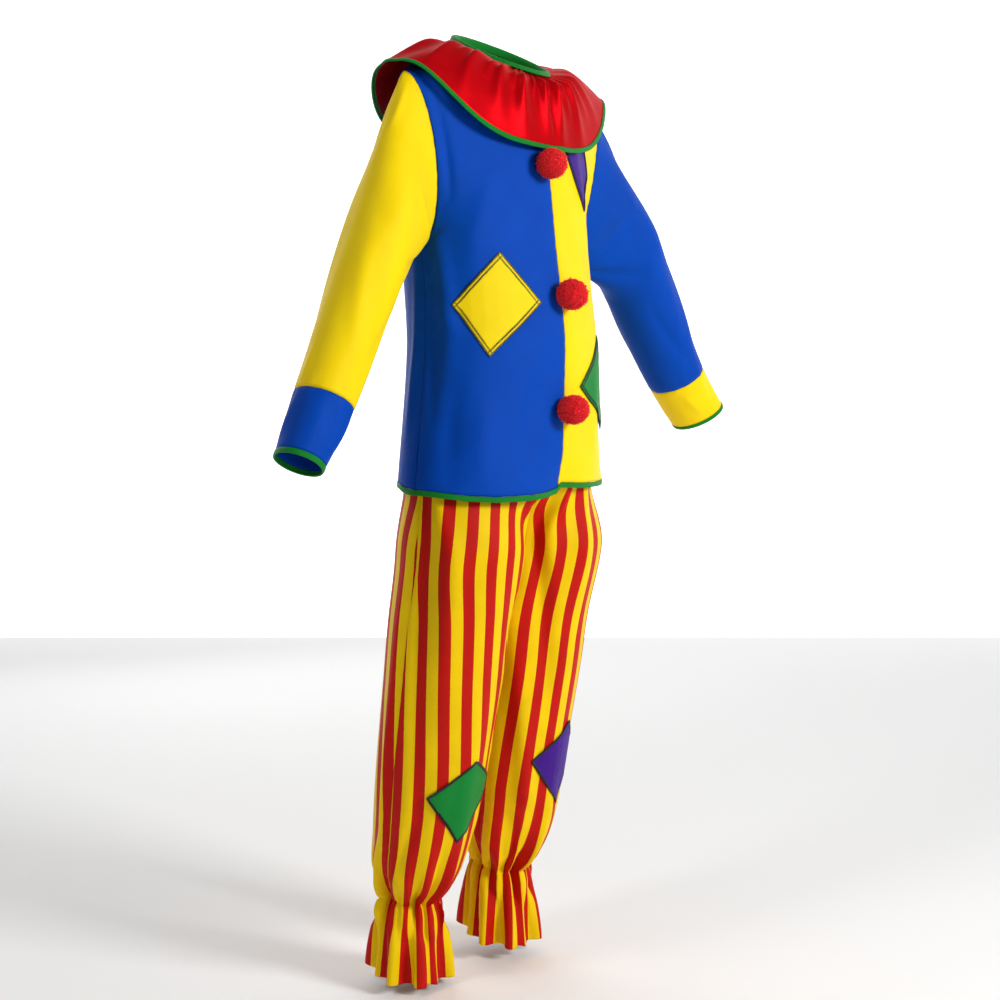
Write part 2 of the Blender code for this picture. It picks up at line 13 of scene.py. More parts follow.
import bmesh
import bpy
import numpy as np
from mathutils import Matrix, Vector

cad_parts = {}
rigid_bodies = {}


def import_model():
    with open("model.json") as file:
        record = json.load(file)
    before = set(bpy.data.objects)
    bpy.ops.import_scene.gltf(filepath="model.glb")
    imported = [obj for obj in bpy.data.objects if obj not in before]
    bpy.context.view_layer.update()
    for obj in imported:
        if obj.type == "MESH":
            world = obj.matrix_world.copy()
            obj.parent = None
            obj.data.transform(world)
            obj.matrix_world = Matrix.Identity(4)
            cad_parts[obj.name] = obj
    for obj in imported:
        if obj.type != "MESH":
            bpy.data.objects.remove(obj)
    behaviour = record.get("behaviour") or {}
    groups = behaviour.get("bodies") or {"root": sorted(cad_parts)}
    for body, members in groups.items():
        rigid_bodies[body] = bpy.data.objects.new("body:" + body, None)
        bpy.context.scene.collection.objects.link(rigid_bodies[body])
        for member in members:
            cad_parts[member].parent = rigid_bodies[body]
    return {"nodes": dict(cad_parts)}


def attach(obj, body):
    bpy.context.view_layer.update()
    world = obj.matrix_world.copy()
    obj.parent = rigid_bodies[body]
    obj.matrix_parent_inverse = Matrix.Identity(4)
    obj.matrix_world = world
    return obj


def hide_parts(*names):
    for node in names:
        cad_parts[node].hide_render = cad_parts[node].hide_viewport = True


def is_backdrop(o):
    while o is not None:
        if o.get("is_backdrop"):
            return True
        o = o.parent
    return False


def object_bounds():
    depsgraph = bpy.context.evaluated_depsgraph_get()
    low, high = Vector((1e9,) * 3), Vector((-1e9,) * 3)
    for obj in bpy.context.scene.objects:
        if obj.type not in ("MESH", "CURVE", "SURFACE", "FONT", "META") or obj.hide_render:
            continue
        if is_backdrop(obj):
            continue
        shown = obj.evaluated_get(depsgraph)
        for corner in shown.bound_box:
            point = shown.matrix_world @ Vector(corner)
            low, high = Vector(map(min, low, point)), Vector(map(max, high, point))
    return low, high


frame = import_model()
frame_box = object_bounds()
print("the frame has", len(frame["nodes"]), "sewn pieces")

# %% [markdown]
# The tables give the garment's form: level sections of the blouse and hips, one ring at each height of a
# leg, a straight tube for each arm. A smooth curve joins the values in each column, so any height has a
# section.

# %% Sizes of the blouse
CLOTH = 0.0011            # wall of each cloth piece
BINDING = 0.0026          # folded edging, all its layers together
BINDING_WIDTH = 0.008
SEAM = 0.0003             # two pieces at a seam

RIGHT, LEFT = -1, 1       # the wearer's sides, as signs of X
FRONT, BACK = -1, 1       # as signs of Y

# Blouse: half of each level section, from the side seam to the centre lines in front and behind
Section = namedtuple("Section", "z side_x side_y front_y back_y")
BLOUSE = (
    Section(-0.690, 0.208, -0.006, -0.128, 0.117),
    Section(-0.600, 0.197, -0.006, -0.129, 0.120),
    Section(-0.500, 0.187, -0.007, -0.132, 0.120),
    Section(-0.450, 0.184, -0.007, -0.132, 0.120),
    Section(-0.360, 0.181, 0.000, -0.121, 0.127),
    Section(-0.308, 0.180, 0.007, -0.114, 0.131),
)
# Centre lines from the armpit's height to the neck
Centre = namedtuple("Centre", "z y")
CENTRE_FRONT = (
    Centre(-0.308, -0.114),
    Centre(-0.209, -0.103),
    Centre(-0.120, -0.092),
    Centre(-0.035, -0.077),
)
CENTRE_BACK = (Centre(-0.308, 0.131), Centre(-0.200, 0.133), Centre(-0.090, 0.120), Centre(0.030, 0.077))
HEM = -0.690
ARMPIT = -0.308
NECK_HALF_WIDTH = 0.072
NECK_HALF_DEPTH = 0.077
NECK_FRONT = -0.035
NECK_BACK = 0.030
SHOULDER = Vector((0.235, -0.011, -0.061))
ARMHOLE_REACH = 0.038     # how far the armhole bows forward and backward
ARMHOLE_BOW = -0.012      # and outward; across the chest it is cut inward
NECK_SHARE = 0.38         # share of the armhole's rows that start on the neck curve
SHOULDER_TURN = 0.95      # radians that a row turns through at the shoulder, where the cloth is flatter
FLATTENS = 1.6            # how much sooner than the armhole's rows that is reached
BLOUSE_COLUMNS = 11       # of the frame's panels; patches are placed by them
HEM_ROWS = 6
ARMHOLE_ROWS = 8
print("the blouse is", round(1000 * (NECK_BACK - HEM)), "mm long")

# %% Soft folds of the blouse
# Each fold: where across the panel, how wide, between which heights and how deep
Fold = namedtuple("Fold", "side face across width top bottom depth")
BLOUSE_FOLDS = (
    Fold(RIGHT, FRONT, 0.00, 0.16, -0.620, -0.760, -0.010),
    Fold(LEFT, FRONT, 0.00, 0.16, -0.620, -0.760, -0.010),
    Fold(RIGHT, FRONT, 0.78, 0.14, -0.330, -0.700, 0.005),
    Fold(LEFT, FRONT, 0.72, 0.16, -0.360, -0.760, 0.006),
    Fold(RIGHT, BACK, 0.62, 0.16, -0.300, -0.760, -0.006),
    Fold(LEFT, BACK, 0.55, 0.16, -0.340, -0.760, -0.006),
)
print(len(BLOUSE_FOLDS), "broad folds")

# %% Sizes of the sleeves
# Sleeves: straight tubes from the armhole, flattened between outward and forward
Arm = namedtuple("Arm", "side out forward length wrist")
ARMS = (Arm(RIGHT, 25.2, 0.0, 0.513, 0.25), Arm(LEFT, 36.3, 0.0, 0.513, 0.70))
WRIST_FROM = 0.85                 # share of the sleeve below which the arm curves outward
SLEEVE_TOP = (0.075, 0.061)       # half sizes, wide and narrow
SHOULDER_IN = 0.063               # from the shoulder point in to the middle of the sleeve's tube
SLEEVE_END = (0.0525, 0.0450)
CUFF_END = (0.0500, 0.0360)
CUFF_LENGTH = 0.100
SLEEVE_TWIST = 45.0               # of the wide direction, from outward towards the front
SLEEVE_EASE = 0.42                # share of the sleeve in which the armhole's shape fades out
print("sleeves", [round(1000 * arm.length) for arm in ARMS], "mm")

# %% Sizes of the collar
COLLAR_REACH = 0.252
COLLAR_FRONT = Vector((0.0, -0.114, -0.160))
COLLAR_SIDE_Y = -0.004
COLLAR_SIDE_Z = -0.047
COLLAR_BACK = Vector((0.0, 0.156, -0.120))
COLLAR_FRONT_SLANT = 1.12          # 1 would be an ellipse seen from above; more runs straighter
COLLAR_BACK_SLANT = 1.0
COLLAR_LEFT_RAISED = 0.012        # the wearer's left side of the collar rides higher
COLLAR_SWELL = 0.015              # how far the cloth stands off a straight fall, straight ahead and aside
COLLAR_SWELL_ASLANT = 0.026       # and halfway between
COLLAR_SWELL_EARLY = 0.6          # below 1, the swell is nearer the neck
COLLAR_RISE = 0.0046              # of the collar's gathered edge above the blouse's neck edge
NECK_BINDING_INSET = 0.945        # of the neck binding's ring inside the neck edge
print("the collar stands out", round(1000 * COLLAR_REACH), "mm aside")

# %% Sizes of the trousers
# Trousers: hip sections as on the blouse, then one ring a leg
HIPS = (
    Section(-0.500, 0.150, 0.000, -0.100, 0.104),
    Section(-0.560, 0.178, -0.001, -0.106, 0.108),
    Section(-0.610, 0.1963, -0.004, -0.108, 0.112),
    Section(-0.690, 0.188, -0.002, -0.109, 0.114),
    Section(-0.790, 0.1995, -0.003, -0.108, 0.106),
)
Ring = namedtuple("Ring", "z middle_x middle_y half_x half_y wave")
LEG = (
    Ring(-0.690, 0.1003, -0.003, 0.0995, 0.102, 0.0),
    Ring(-0.790, 0.1003, -0.003, 0.0995, 0.102, 0.0),
    Ring(-0.894, 0.1000, 0.018, 0.0970, 0.0968, 0.0),
    Ring(-0.990, 0.1000, 0.033, 0.0940, 0.0935, 0.0),
    Ring(-1.125, 0.1000, 0.058, 0.0865, 0.0865, 0.0006),
    Ring(-1.232, 0.1005, 0.075, 0.0790, 0.0785, 0.0016),
    Ring(-1.290, 0.1010, 0.087, 0.0715, 0.0710, 0.0030),
    Ring(-1.318, 0.1015, 0.093, 0.0600, 0.0600, 0.0032),
    Ring(-1.342, 0.1020, 0.100, 0.0445, 0.0445, 0.0022),
    Ring(-1.366, 0.1020, 0.101, 0.0490, 0.0490, 0.0034),
    Ring(-1.400, 0.1020, 0.101, 0.0540, 0.0540, 0.0048),
    Ring(-1.466, 0.1020, 0.102, 0.0610, 0.0610, 0.0064),
)
WAIST = -0.500
FORK = -0.790             # the crotch
FORK_START = -0.660       # where the panels begin to turn in towards it
LEG_WAVES = 10            # gathers and ruffle waves round each leg
LEG_COLUMNS = 2 * LEG_WAVES
LEG_HEIGHTS = (-0.500, -0.555, -0.610, -0.660, -0.725, -0.790, -0.894, -1.010, -1.100, -1.170, -1.232,
               -1.290, -1.318, -1.342, -1.366, -1.400, -1.466)
Stance = namedtuple("Stance", "side raised forward")
STANCES = (Stance(RIGHT, 0.0, 0.0), Stance(LEFT, 0.012, 0.014))
STANCE_FROM, STANCE_OVER = -0.90, 0.42
WAISTBAND_TOP = -0.465
WAISTBAND_WAVES = 12
print("the legs are", round(1000 * (WAIST - LEG[-1].z)), "mm long")

# %% Sizes of the trims
# Diamond patches: panel, how far they rest off it, and each corner's place on it as (columns across, rows up)
Patch = namedtuple("Patch", "name colour panel rest top side_in bottom side_out")
PATCHES = (
    Patch("patch_yellow_front", "patch_yellow", "front_right", 0.0015,
          (4.6, 5.7), (1.9, 4.5), (5.7, 3.15), (8.4, 4.4)),
    Patch("patch_green_front", "patch_green", "front_left", 0.0015,
          (5.1, 3.8), (1.5, 2.45), (5.5, 1.35), (9.0, 2.5)),
    Patch("patch_purple_chest", "patch_purple", "front_left", 0.0009,
          (4.8, 10.6), (2.2, 8.9), (4.4, 7.3), (7.2, 9.0)),
    Patch("patch_green_knee", "patch_green", "leg_front_right", 0.0025,
          (10.1, 7.93), (4.9, 7.33), (10.9, 6.0), (15.5, 7.19)),
    Patch("patch_purple_knee", "patch_purple", "leg_front_left", 0.0014,
          (12.0, 8.2), (6.3, 7.4), (11.3, 6.12), (16.5, 7.4)),
)

# Pompoms on the centre front
Pompom = namedtuple("Pompom", "name x z half_x half_z depth")
POMPOMS = (
    Pompom("pompom_top", -0.020, -0.185, 0.0245, 0.0245, 0.044),
    Pompom("pompom_middle", -0.002, -0.3875, 0.0250, 0.0250, 0.046),
    Pompom("pompom_bottom", -0.004, -0.5650, 0.0255, 0.0235, 0.046),
)
print(len(PATCHES), "patches and", len(POMPOMS), "pompoms")

# %% [markdown]
# These helpers blend two values, ease one in and read a table at any height.

# %% Blending and tables
def mix(a, b, share):
    return a + (b - a) * share


def soft_step(share):
    share = np.clip(share, 0.0, 1.0)
    return share * share * (3.0 - 2.0 * share)


def between(rows, key):
    """The row of a table at any key, each column joined by a smooth curve through its values."""
    keys = [row[0] for row in rows]
    falling = keys[0] > keys[-1]
    index = 0
    while index < len(rows) - 2 and ((key < keys[index + 1]) if falling else (key > keys[index + 1])):
        index += 1
    before, start = rows[max(index - 1, 0)], rows[index]
    end, after = rows[index + 1], rows[min(index + 2, len(rows) - 1)]
    span = end[0] - start[0]
    share = min(max((key - start[0]) / span, 0.0), 1.0)
    values = [key]
    for column in range(1, len(start)):
        leave = (end[column] - before[column]) / (end[0] - before[0]) * span
        arrive = (after[column] - start[column]) / (after[0] - start[0]) * span
        values.append((2 * share**3 - 3 * share**2 + 1) * start[column]
                      + (share**3 - 2 * share**2 + share) * leave
                      + (3 * share**2 - 2 * share**3) * end[column]
                      + (share**3 - share**2) * arrive)
    return type(start)(*values)


# %% [markdown]
# A blouse panel is a lattice of points: level rows from the hem to the armpit, then rows that fan out from
# the centre line and the neck to the armhole.

# %% The form of a blouse panel
def neck_point(turn):
    """The neck curve, from the centre front at 0 to the centre back at pi, on the +X side."""
    height = mix(NECK_FRONT, NECK_BACK, (1.0 - math.cos(turn)) / 2.0)
    return Vector((NECK_HALF_WIDTH * math.sin(turn), -NECK_HALF_DEPTH * math.cos(turn), height))


def armhole_point(face, share):
    """The armhole on the +X side, from the armpit at 0 to the shoulder seam at 1."""
    armpit = between(BLOUSE, ARMPIT)
    swell = math.sin(math.pi * share)
    x = mix(armpit.side_x, SHOULDER.x, soft_step(share)) + ARMHOLE_BOW * swell
    y = mix(armpit.side_y, SHOULDER.y, share) + face * ARMHOLE_REACH * swell
    z = mix(ARMPIT, SHOULDER.z, (1.0 - math.cos(math.pi * share)) / 2.0)
    return Vector((x, y, z))


def arc_row(start, end, turn, columns, straight=0.0):
    """Points from a centre line to a side, curved like the part of an ellipse that turns by this angle.

    A row leaves the centre line level; straight, from 0 to 1, makes its heights follow a straight slope.
    """
    row = []
    for column in range(columns + 1):
        angle = turn * column / columns
        along = math.sin(angle) / math.sin(turn)
        back = (1.0 - math.cos(angle)) / (1.0 - math.cos(turn))
        fall = mix(back, along, straight)
        row.append(Vector((mix(start.x, end.x, along), mix(start.y, end.y, back), mix(start.z, end.z, fall))))
    return row


def blouse_rows(side, face, columns=BLOUSE_COLUMNS, hem_rows=HEM_ROWS, armhole_rows=ARMHOLE_ROWS):
    """Rows of a blouse panel from the hem up to the shoulder seam, each from the centre line outwards."""
    rows = []
    bottom = HEM + BINDING_WIDTH + SEAM
    for step in range(hem_rows):
        z = mix(bottom, ARMPIT, step / hem_rows)
        section = between(BLOUSE, z)
        centre_y = section.front_y if face == FRONT else section.back_y
        start, end = Vector((0.0, centre_y, z)), Vector((section.side_x, section.side_y, z))
        rows.append(arc_row(start, end, math.pi / 2, columns))
    centre_line = CENTRE_FRONT if face == FRONT else CENTRE_BACK
    neck_starts = 1.0 - NECK_SHARE
    for step in range(armhole_rows + 1):
        share = step / armhole_rows
        if share < neck_starts:
            z = mix(ARMPIT, centre_line[-1].z, share / neck_starts)
            start = Vector((0.0, between(centre_line, z).y, z))
        else:
            turn = (share - neck_starts) / NECK_SHARE * math.pi / 2
            start = neck_point(turn if face == FRONT else math.pi - turn)
        turn = mix(math.pi / 2, SHOULDER_TURN, soft_step(share * FLATTENS))
        straight = soft_step((share - neck_starts) / NECK_SHARE)
        rows.append(arc_row(start, armhole_point(face, share), turn, columns, straight))
    for row in rows:
        for column, point in enumerate(row):
            point += Vector((0.0, face, 0.0)) * fold_depth(side, face, column / columns, point.z)
            point.x *= side
    return rows


def fold_depth(side, face, across, z):
    """How far the soft folds of a blouse panel stand out at a place on it."""
    depth = 0.0
    for fold in BLOUSE_FOLDS:
        if fold.side == side and fold.face == face and fold.bottom < z < fold.top:
            bell = math.exp(-((across - fold.across) / fold.width) ** 2)
            along = math.sin(math.pi * (fold.top - z) / (fold.top - fold.bottom)) ** 2
            depth += fold.depth * bell * along * math.cos(across * math.pi / 2)
    return depth


# %% The form of a sleeve
def arm_frame(arm):
    """A sleeve's direction, its cross directions outward and ahead, and its middle at the shoulder."""
    out, forward = math.radians(arm.out), math.radians(arm.forward)
    along = Vector((arm.side * math.tan(out), -math.tan(forward), -1.0)).normalized()
    outward = Vector((arm.side, 0.0, 0.0))
    outward = (outward - along * outward.dot(along)).normalized()
    ahead = Vector((0.0, -1.0, 0.0))
    ahead = (ahead - along * ahead.dot(along) - outward * ahead.dot(outward)).normalized()
    shoulder = Vector((arm.side * SHOULDER.x, SHOULDER.y, SHOULDER.z))
    return along, outward, ahead, shoulder - outward * SHOULDER_IN


def sleeve_section(arm, distance, turn):
    """A point of the sleeve's or cuff's tube; turn is 0 at the underarm and a quarter at the front."""
    along, outward, ahead, top = arm_frame(arm)
    if distance < arm.length:
        share = distance / arm.length
        wide, narrow = (mix(a, b, share) for a, b in zip(SLEEVE_TOP, SLEEVE_END))
    else:
        share = (distance - arm.length) / CUFF_LENGTH
        wide, narrow = (mix(a, b, share) for a, b in zip(SLEEVE_END, CUFF_END))
    lean = math.pi - turn - math.radians(SLEEVE_TWIST)
    radius = wide * narrow / math.hypot(narrow * math.cos(lean), wide * math.sin(lean))
    curve = outward * arm.wrist * max(distance - WRIST_FROM * arm.length, 0.0) ** 2
    return top + along * distance + curve + (ahead * math.sin(turn) - outward * math.cos(turn)) * radius


def armhole_ring(arm, turn):
    """The armhole as one loop; turn is 0 at the armpit, half at the shoulder seam."""
    share = turn / math.pi
    point = armhole_point(FRONT, share) if share <= 1.0 else armhole_point(BACK, 2.0 - share)
    return Vector((point.x * arm.side, point.y, point.z))


# %% The form of the collar
def collar_edge(turn):
    """The collar's outer edge; turn is 0 at the centre front, a quarter at the wearer's left shoulder."""
    facing, aside = math.cos(turn), math.sin(turn)
    tip, slant = (COLLAR_FRONT, COLLAR_FRONT_SLANT) if facing > 0 else (COLLAR_BACK, COLLAR_BACK_SLANT)
    x = COLLAR_REACH * math.copysign(abs(aside) ** slant, aside)
    y = mix(COLLAR_SIDE_Y, tip.y, abs(facing) ** slant)
    z = mix(COLLAR_SIDE_Z, tip.z, soft_step(abs(facing)) ** 2)
    return Vector((x, y, z + COLLAR_LEFT_RAISED * soft_step(aside)))


# %% The form of a leg
def leg_row(stance, face, z, columns=LEG_COLUMNS):
    """A row of a trouser panel: a quarter of the hips above the fork, half of the leg's ring below it."""
    drop = soft_step((STANCE_FROM - z) / STANCE_OVER)
    ring = between(LEG, z)
    turned_in = soft_step((FORK_START - z) / (FORK_START - FORK))
    row = []
    for column in range(columns + 1):
        turn = math.pi * column / columns
        wave = -ring.wave * math.cos(LEG_WAVES * turn)
        leg = Vector((ring.middle_x - (ring.half_x + wave) * math.cos(turn),
                      ring.middle_y + face * (ring.half_y + wave) * math.sin(turn), z))
        if turned_in < 1.0:
            hips = between(HIPS, z)
            centre_y = hips.front_y if face == FRONT else hips.back_y
            hip_y = mix(hips.side_y, centre_y, math.cos(turn / 2))
            leg = Vector((hips.side_x * math.sin(turn / 2), hip_y, z)).lerp(leg, turned_in)
        leg.z += stance.raised * drop
        leg.y -= stance.forward * drop
        leg.x *= stance.side
        row.append(leg)
    return row

# %% [markdown]
# Cloth is woven flat, so a weave or a stripe has to be laid out on the flat cloth and not in space. Each
# point of a piece therefore keeps its flat place, in metres: how far across from the middle of the piece
# and how far up from its lower edge. The places go into a UV map, which every cloth finish below reads.

# %% Points and flat places
def lattice(rows, closed=False):
    """The rows as an array; a closed one gets its first column again at the end."""
    points = np.array([[tuple(point) for point in row] for row in rows])
    return np.concatenate([points, points[:, :1]], axis=1) if closed else points


def flat_places(points):
    steps = np.linalg.norm(np.diff(points, axis=1), axis=2)
    across = np.concatenate([np.zeros((len(points), 1)), np.cumsum(steps, axis=1)], axis=1)
    rises = np.linalg.norm(np.diff(points, axis=0), axis=2)
    up = np.concatenate([np.zeros((1, points.shape[1])), np.cumsum(rises, axis=0)], axis=0)
    return across - across[:, -1:] / 2, up


def ways_out(points, closed=False, flip=False):
    """The direction away from the body at each point."""
    across = np.gradient(points, axis=1)
    if closed:
        across[:, 0] = across[:, -1] = points[:, 1] - points[:, -2]
    out = np.cross(across, np.gradient(points, axis=0))
    out /= np.linalg.norm(out, axis=2, keepdims=True)
    return -out if flip else out


# %% [markdown]
# Worn cloth hangs in soft creases of uneven length and depth. Each one is given as a row of a table: where
# it starts and ends, as shares of the piece across and up, then its width, depth and bend in metres. A ridge
# has a depth above zero and a trough one below it, and both taper to nothing at their ends.

# %% Creases
Crease = namedtuple("Crease", "across_1 up_1 across_2 up_2 width depth bend")
CREASE_STRENGTH = 1.4     # of all the creases together


def crease_heights(points, creases):
    rows, columns = points.shape[:2]
    up, across = np.meshgrid(np.linspace(0, 1, rows), np.linspace(0, 1, columns), indexing="ij")
    wide = np.linalg.norm(np.diff(points[rows // 2], axis=0), axis=1).sum()
    tall = np.linalg.norm(np.diff(points[:, columns // 2], axis=0), axis=1).sum()
    heights = np.zeros((rows, columns))
    for crease in creases:
        run = np.array([(crease.across_2 - crease.across_1) * wide, (crease.up_2 - crease.up_1) * tall])
        length = np.linalg.norm(run)
        run /= length
        right, above = (across - crease.across_1) * wide, (up - crease.up_1) * tall
        share = np.clip((right * run[0] + above * run[1]) / length, 0.0, 1.0)
        taper = np.sin(math.pi * share)
        aside = above * run[0] - right * run[1] - crease.bend * taper
        heights += CREASE_STRENGTH * crease.depth * taper * np.exp(-(aside / crease.width) ** 2)
    return heights


# %% [markdown]
# Along a seam the cloth turns inwards to its allowance, and the thread draws it into small puckers. So the
# surface dips beside a sewn edge, and low waves of uneven length die away from it.

# %% Sewn edges
SEAM_DIP = 0.0010
SEAM_DIP_WIDTH = 0.0035
PUCKER = 0.00022
PUCKER_REACH = 0.016
PUCKER_LENGTHS = (0.019, 0.031)
SEAM_HOLDS = 0.014        # how far from a seam a crease is held down


def sewn_heights(points, creases, sewn):
    """The creases, fading out beside the piece's sewn edges, which are among first, last, bottom and top."""
    across, up = flat_places(points)
    ends = {"first": (across - across[:, :1], up), "last": (across[:, -1:] - across, up),
            "bottom": (up - up[:1], across), "top": (up[-1:] - up, across)}
    heights = crease_heights(points, creases)
    for edge in sewn:
        heights *= 1 - np.exp(-(ends[edge][0] / SEAM_HOLDS) ** 2)
    for edge in sewn:
        away, along = ends[edge]
        waves = sum(np.sin(2 * math.pi * along / length + 5 * length * 1000) for length in PUCKER_LENGTHS)
        heights -= SEAM_DIP * np.exp(-(away / SEAM_DIP_WIDTH) ** 2)
        heights += PUCKER * waves * np.exp(-(away / PUCKER_REACH) ** 2)
    return heights


# %% [markdown]
# A piece of cloth is its lattice turned into faces, with the wall made by a Solidify modifier towards the
# body.

# %% Making a piece of cloth
def add_object(name, data):
    obj = bpy.data.objects.new(name, data)
    bpy.context.scene.collection.objects.link(obj)
    return obj


Cut = namedtuple("Cut", "width length share held")     # share of the rectangle that the cut fills
cloth_pieces = {}


def grid_mesh(name, points, places, closed, flip):
    rows, columns = points.shape[:2]
    kept = columns - 1 if closed else columns
    corners = [(row, column) for row in range(rows - 1) for column in range(columns - 1)]
    faces, corner_places = [], []
    for row, column in corners:
        loop = [(row, column), (row, column + 1), (row + 1, column + 1), (row + 1, column)]
        if flip:
            loop.reverse()
        faces.append([r * kept + c % kept for r, c in loop])
        corner_places += [(places[0][r, c], places[1][r, c]) for r, c in loop]
    mesh = bpy.data.meshes.new(name)
    mesh.from_pydata(points[:, :kept].reshape(-1, 3).tolist(), [], faces)
    mesh.uv_layers.new(name="flat").uv.foreach_set("vector", np.array(corner_places, dtype=float).ravel())
    mesh.shade_smooth()
    return mesh


def cloth(node, points, finish, closed=False, flip=False, thickness=CLOTH, offset=-1.0, places=None,
          heights=None):
    if heights is not None:
        points = points + ways_out(points, closed, flip) * heights[:, :, None]
    mesh = grid_mesh(f"{node}_cloth", points, places or flat_places(points), closed, flip)
    mesh.materials.append(finishes[finish])
    piece = add_object(f"{node}_cloth", mesh)
    wall = piece.modifiers.new("wall", "SOLIDIFY")
    wall.thickness, wall.offset = thickness, offset
    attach(piece, "root")
    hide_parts(node)
    cloth_pieces[node] = piece
    return piece

# %% [markdown]
# A finish is a node tree. Written as expressions it stays readable: this class wraps one socket, so that
# adding or multiplying two of them adds the Math nodes, and its node method makes every other kind of node.

# %% Reckoning with sockets
class Signal:
    def __init__(self, tree, socket=None):
        self.tree, self.socket = tree, socket

    def node(self, kind, inputs=(), output=0, **settings):
        """Any node, with its settings first and then the values or links of its sockets."""
        node = self.tree.nodes.new(kind)
        for setting, value in settings.items():
            setattr(node, setting, value)
        for key, value in dict(inputs).items():
            if isinstance(value, Signal):
                self.tree.links.new(value.socket, node.inputs[key])
            else:
                node.inputs[key].default_value = value
        return Signal(self.tree, node.outputs[output])

    def reckon(self, operation, *values):
        return self.node("ShaderNodeMath", enumerate(values), operation=operation)

    def __add__(self, other):
        return self.reckon("ADD", self, other)

    def __mul__(self, other):
        return self.reckon("MULTIPLY", self, other)

    def __truediv__(self, other):
        return self.reckon("DIVIDE", self, other)

    def __mod__(self, other):
        return self.reckon("FLOORED_MODULO", self, other)

    def __gt__(self, other):
        return self.reckon("GREATER_THAN", self, other)

    def sine(self):
        return self.reckon("SINE", self)

    def between_colours(self, low, high):
        return self.node("ShaderNodeMix", {0: self, 6: low, 7: high}, output=2, data_type="RGBA")


# %% [markdown]
# Colours were judged as screen values, from 0 to 255, and a shader reckons in linear light. The cloth of
# such a costume is a smooth, closely woven polyester that looks nearly matt. So it gets a middling roughness
# and a weak mirror share, which would otherwise lay a milky veil over its strong colours. A faint slub, which
# is thread of uneven thickness, runs along the weave. Satin is the exception: it throws its own colour back,
# as metal does.

# %% Colours and the cloth's finish
def linear(red, green, blue):
    shares = [value / 255 for value in (red, green, blue)]
    return tuple(s / 12.92 if s <= 0.04045 else ((s + 0.055) / 1.055) ** 2.4 for s in shares) + (1.0,)


THREAD = 0.0005           # spacing of the threads in the weave
WEAVE_RELIEF = 0.0004     # the height that full bump stands for
WEAVE_SHARE = 0.5         # of the weave in the relief; the slub is added to it
SLUB_LENGTH, SLUB_WIDTH = 0.045, 0.0016
SLUB_ROUGHNESS = 0.2      # how much of the slub shows in the roughness
MOTTLE = 0.060            # size of the slow changes of shade
MOTTLE_SHARE, SLUB_SHARE = 0.7, 0.3     # of the shade of a plain finish
Finish = namedtuple("Finish", "name light dark roughness bump slub specular")
FINISHES = (
    Finish("cloth_blue", (0, 72, 182), (0, 60, 158), 0.50, 0.25, 0.5, 0.06),
    Finish("cloth_yellow", (250, 220, 6), (242, 204, 0), 0.48, 0.25, 0.5, 0.10),
    Finish("satin_red", (208, 8, 20), (168, 2, 10), 0.40, 0.05, 0.0, 0.10),
    Finish("binding_green", (0, 138, 38), (0, 108, 26), 0.46, 0.45, 0.4, 0.15),
    Finish("patch_yellow", (248, 222, 20), (232, 200, 4), 0.48, 0.25, 0.5, 0.10),
    Finish("patch_green", (18, 140, 56), (10, 112, 40), 0.44, 0.25, 0.4, 0.10),
    Finish("patch_purple", (74, 22, 148), (50, 12, 110), 0.44, 0.25, 0.4, 0.10),
)
SATIN_SHINE = 0.45        # its metallic share, which keeps its highlights red
SATIN_TINT = (0.75, 0.12, 0.12, 1.0)
STRIPE = 0.0182           # width of one stripe of the trousers
STRIPE_RED = (200, 20, 8)
STRIPE_YELLOW = (250, 208, 0)
STRIPES_LOOK = Finish("stripes", STRIPE_YELLOW, STRIPE_RED, 0.48, 0.25, 0.5, 0.10)
finishes = {}


def new_material(name, **inputs):
    """A new material and its shader, with values for the sockets named, underscores for spaces."""
    material = bpy.data.materials.new(name)
    material.use_nodes = True
    shader = material.node_tree.nodes["Principled BSDF"]
    for socket, value in inputs.items():
        shader.inputs[socket.replace("_", " ")].default_value = value
    return material, shader


def new_finish(name, **inputs):
    """The shader of a new finish, and the flat places that go to it: as one signal, across and up."""
    material, shader = new_material(name, **inputs)
    flat = Signal(material.node_tree).node("ShaderNodeUVMap", uv_map="flat")
    across = flat.node("ShaderNodeSeparateXYZ", {0: flat})
    up = Signal(material.node_tree, across.socket.node.outputs[1])
    finishes[name] = material
    return shader, flat, across, up


def weave(across, up):
    """Height of a plain weave, from -1 to 1."""
    turn = 2 * math.pi / THREAD
    return (across * turn).sine() * (up * turn).sine()


def noise(flat, across_size, up_size):
    scale = flat.node("ShaderNodeVectorMath", {0: flat, 1: (1 / across_size, 1 / up_size, 1.0)},
                      operation="MULTIPLY")
    return flat.node("ShaderNodeTexNoise", {"Vector": scale, "Scale": 1.0, "Detail": 2.0})


def connect(shader, **signals):
    """Links signals to the sockets named, underscores for spaces."""
    for socket, signal in signals.items():
        shader.id_data.links.new(signal.socket, shader.inputs[socket.replace("_", " ")])


def weave_finish(shader, flat, across, up, colour, look):
    slub = noise(flat, SLUB_LENGTH, SLUB_WIDTH)
    height = weave(across, up) * WEAVE_SHARE + slub * look.slub
    relief = flat.node("ShaderNodeBump", {"Height": height, "Strength": look.bump, "Distance": WEAVE_RELIEF})
    slub_change = look.slub * SLUB_ROUGHNESS
    roughness = slub * slub_change + (look.roughness - slub_change / 2)
    connect(shader, Base_Color=colour, Roughness=roughness, Normal=relief)
    shader.inputs["Specular IOR Level"].default_value = look.specular


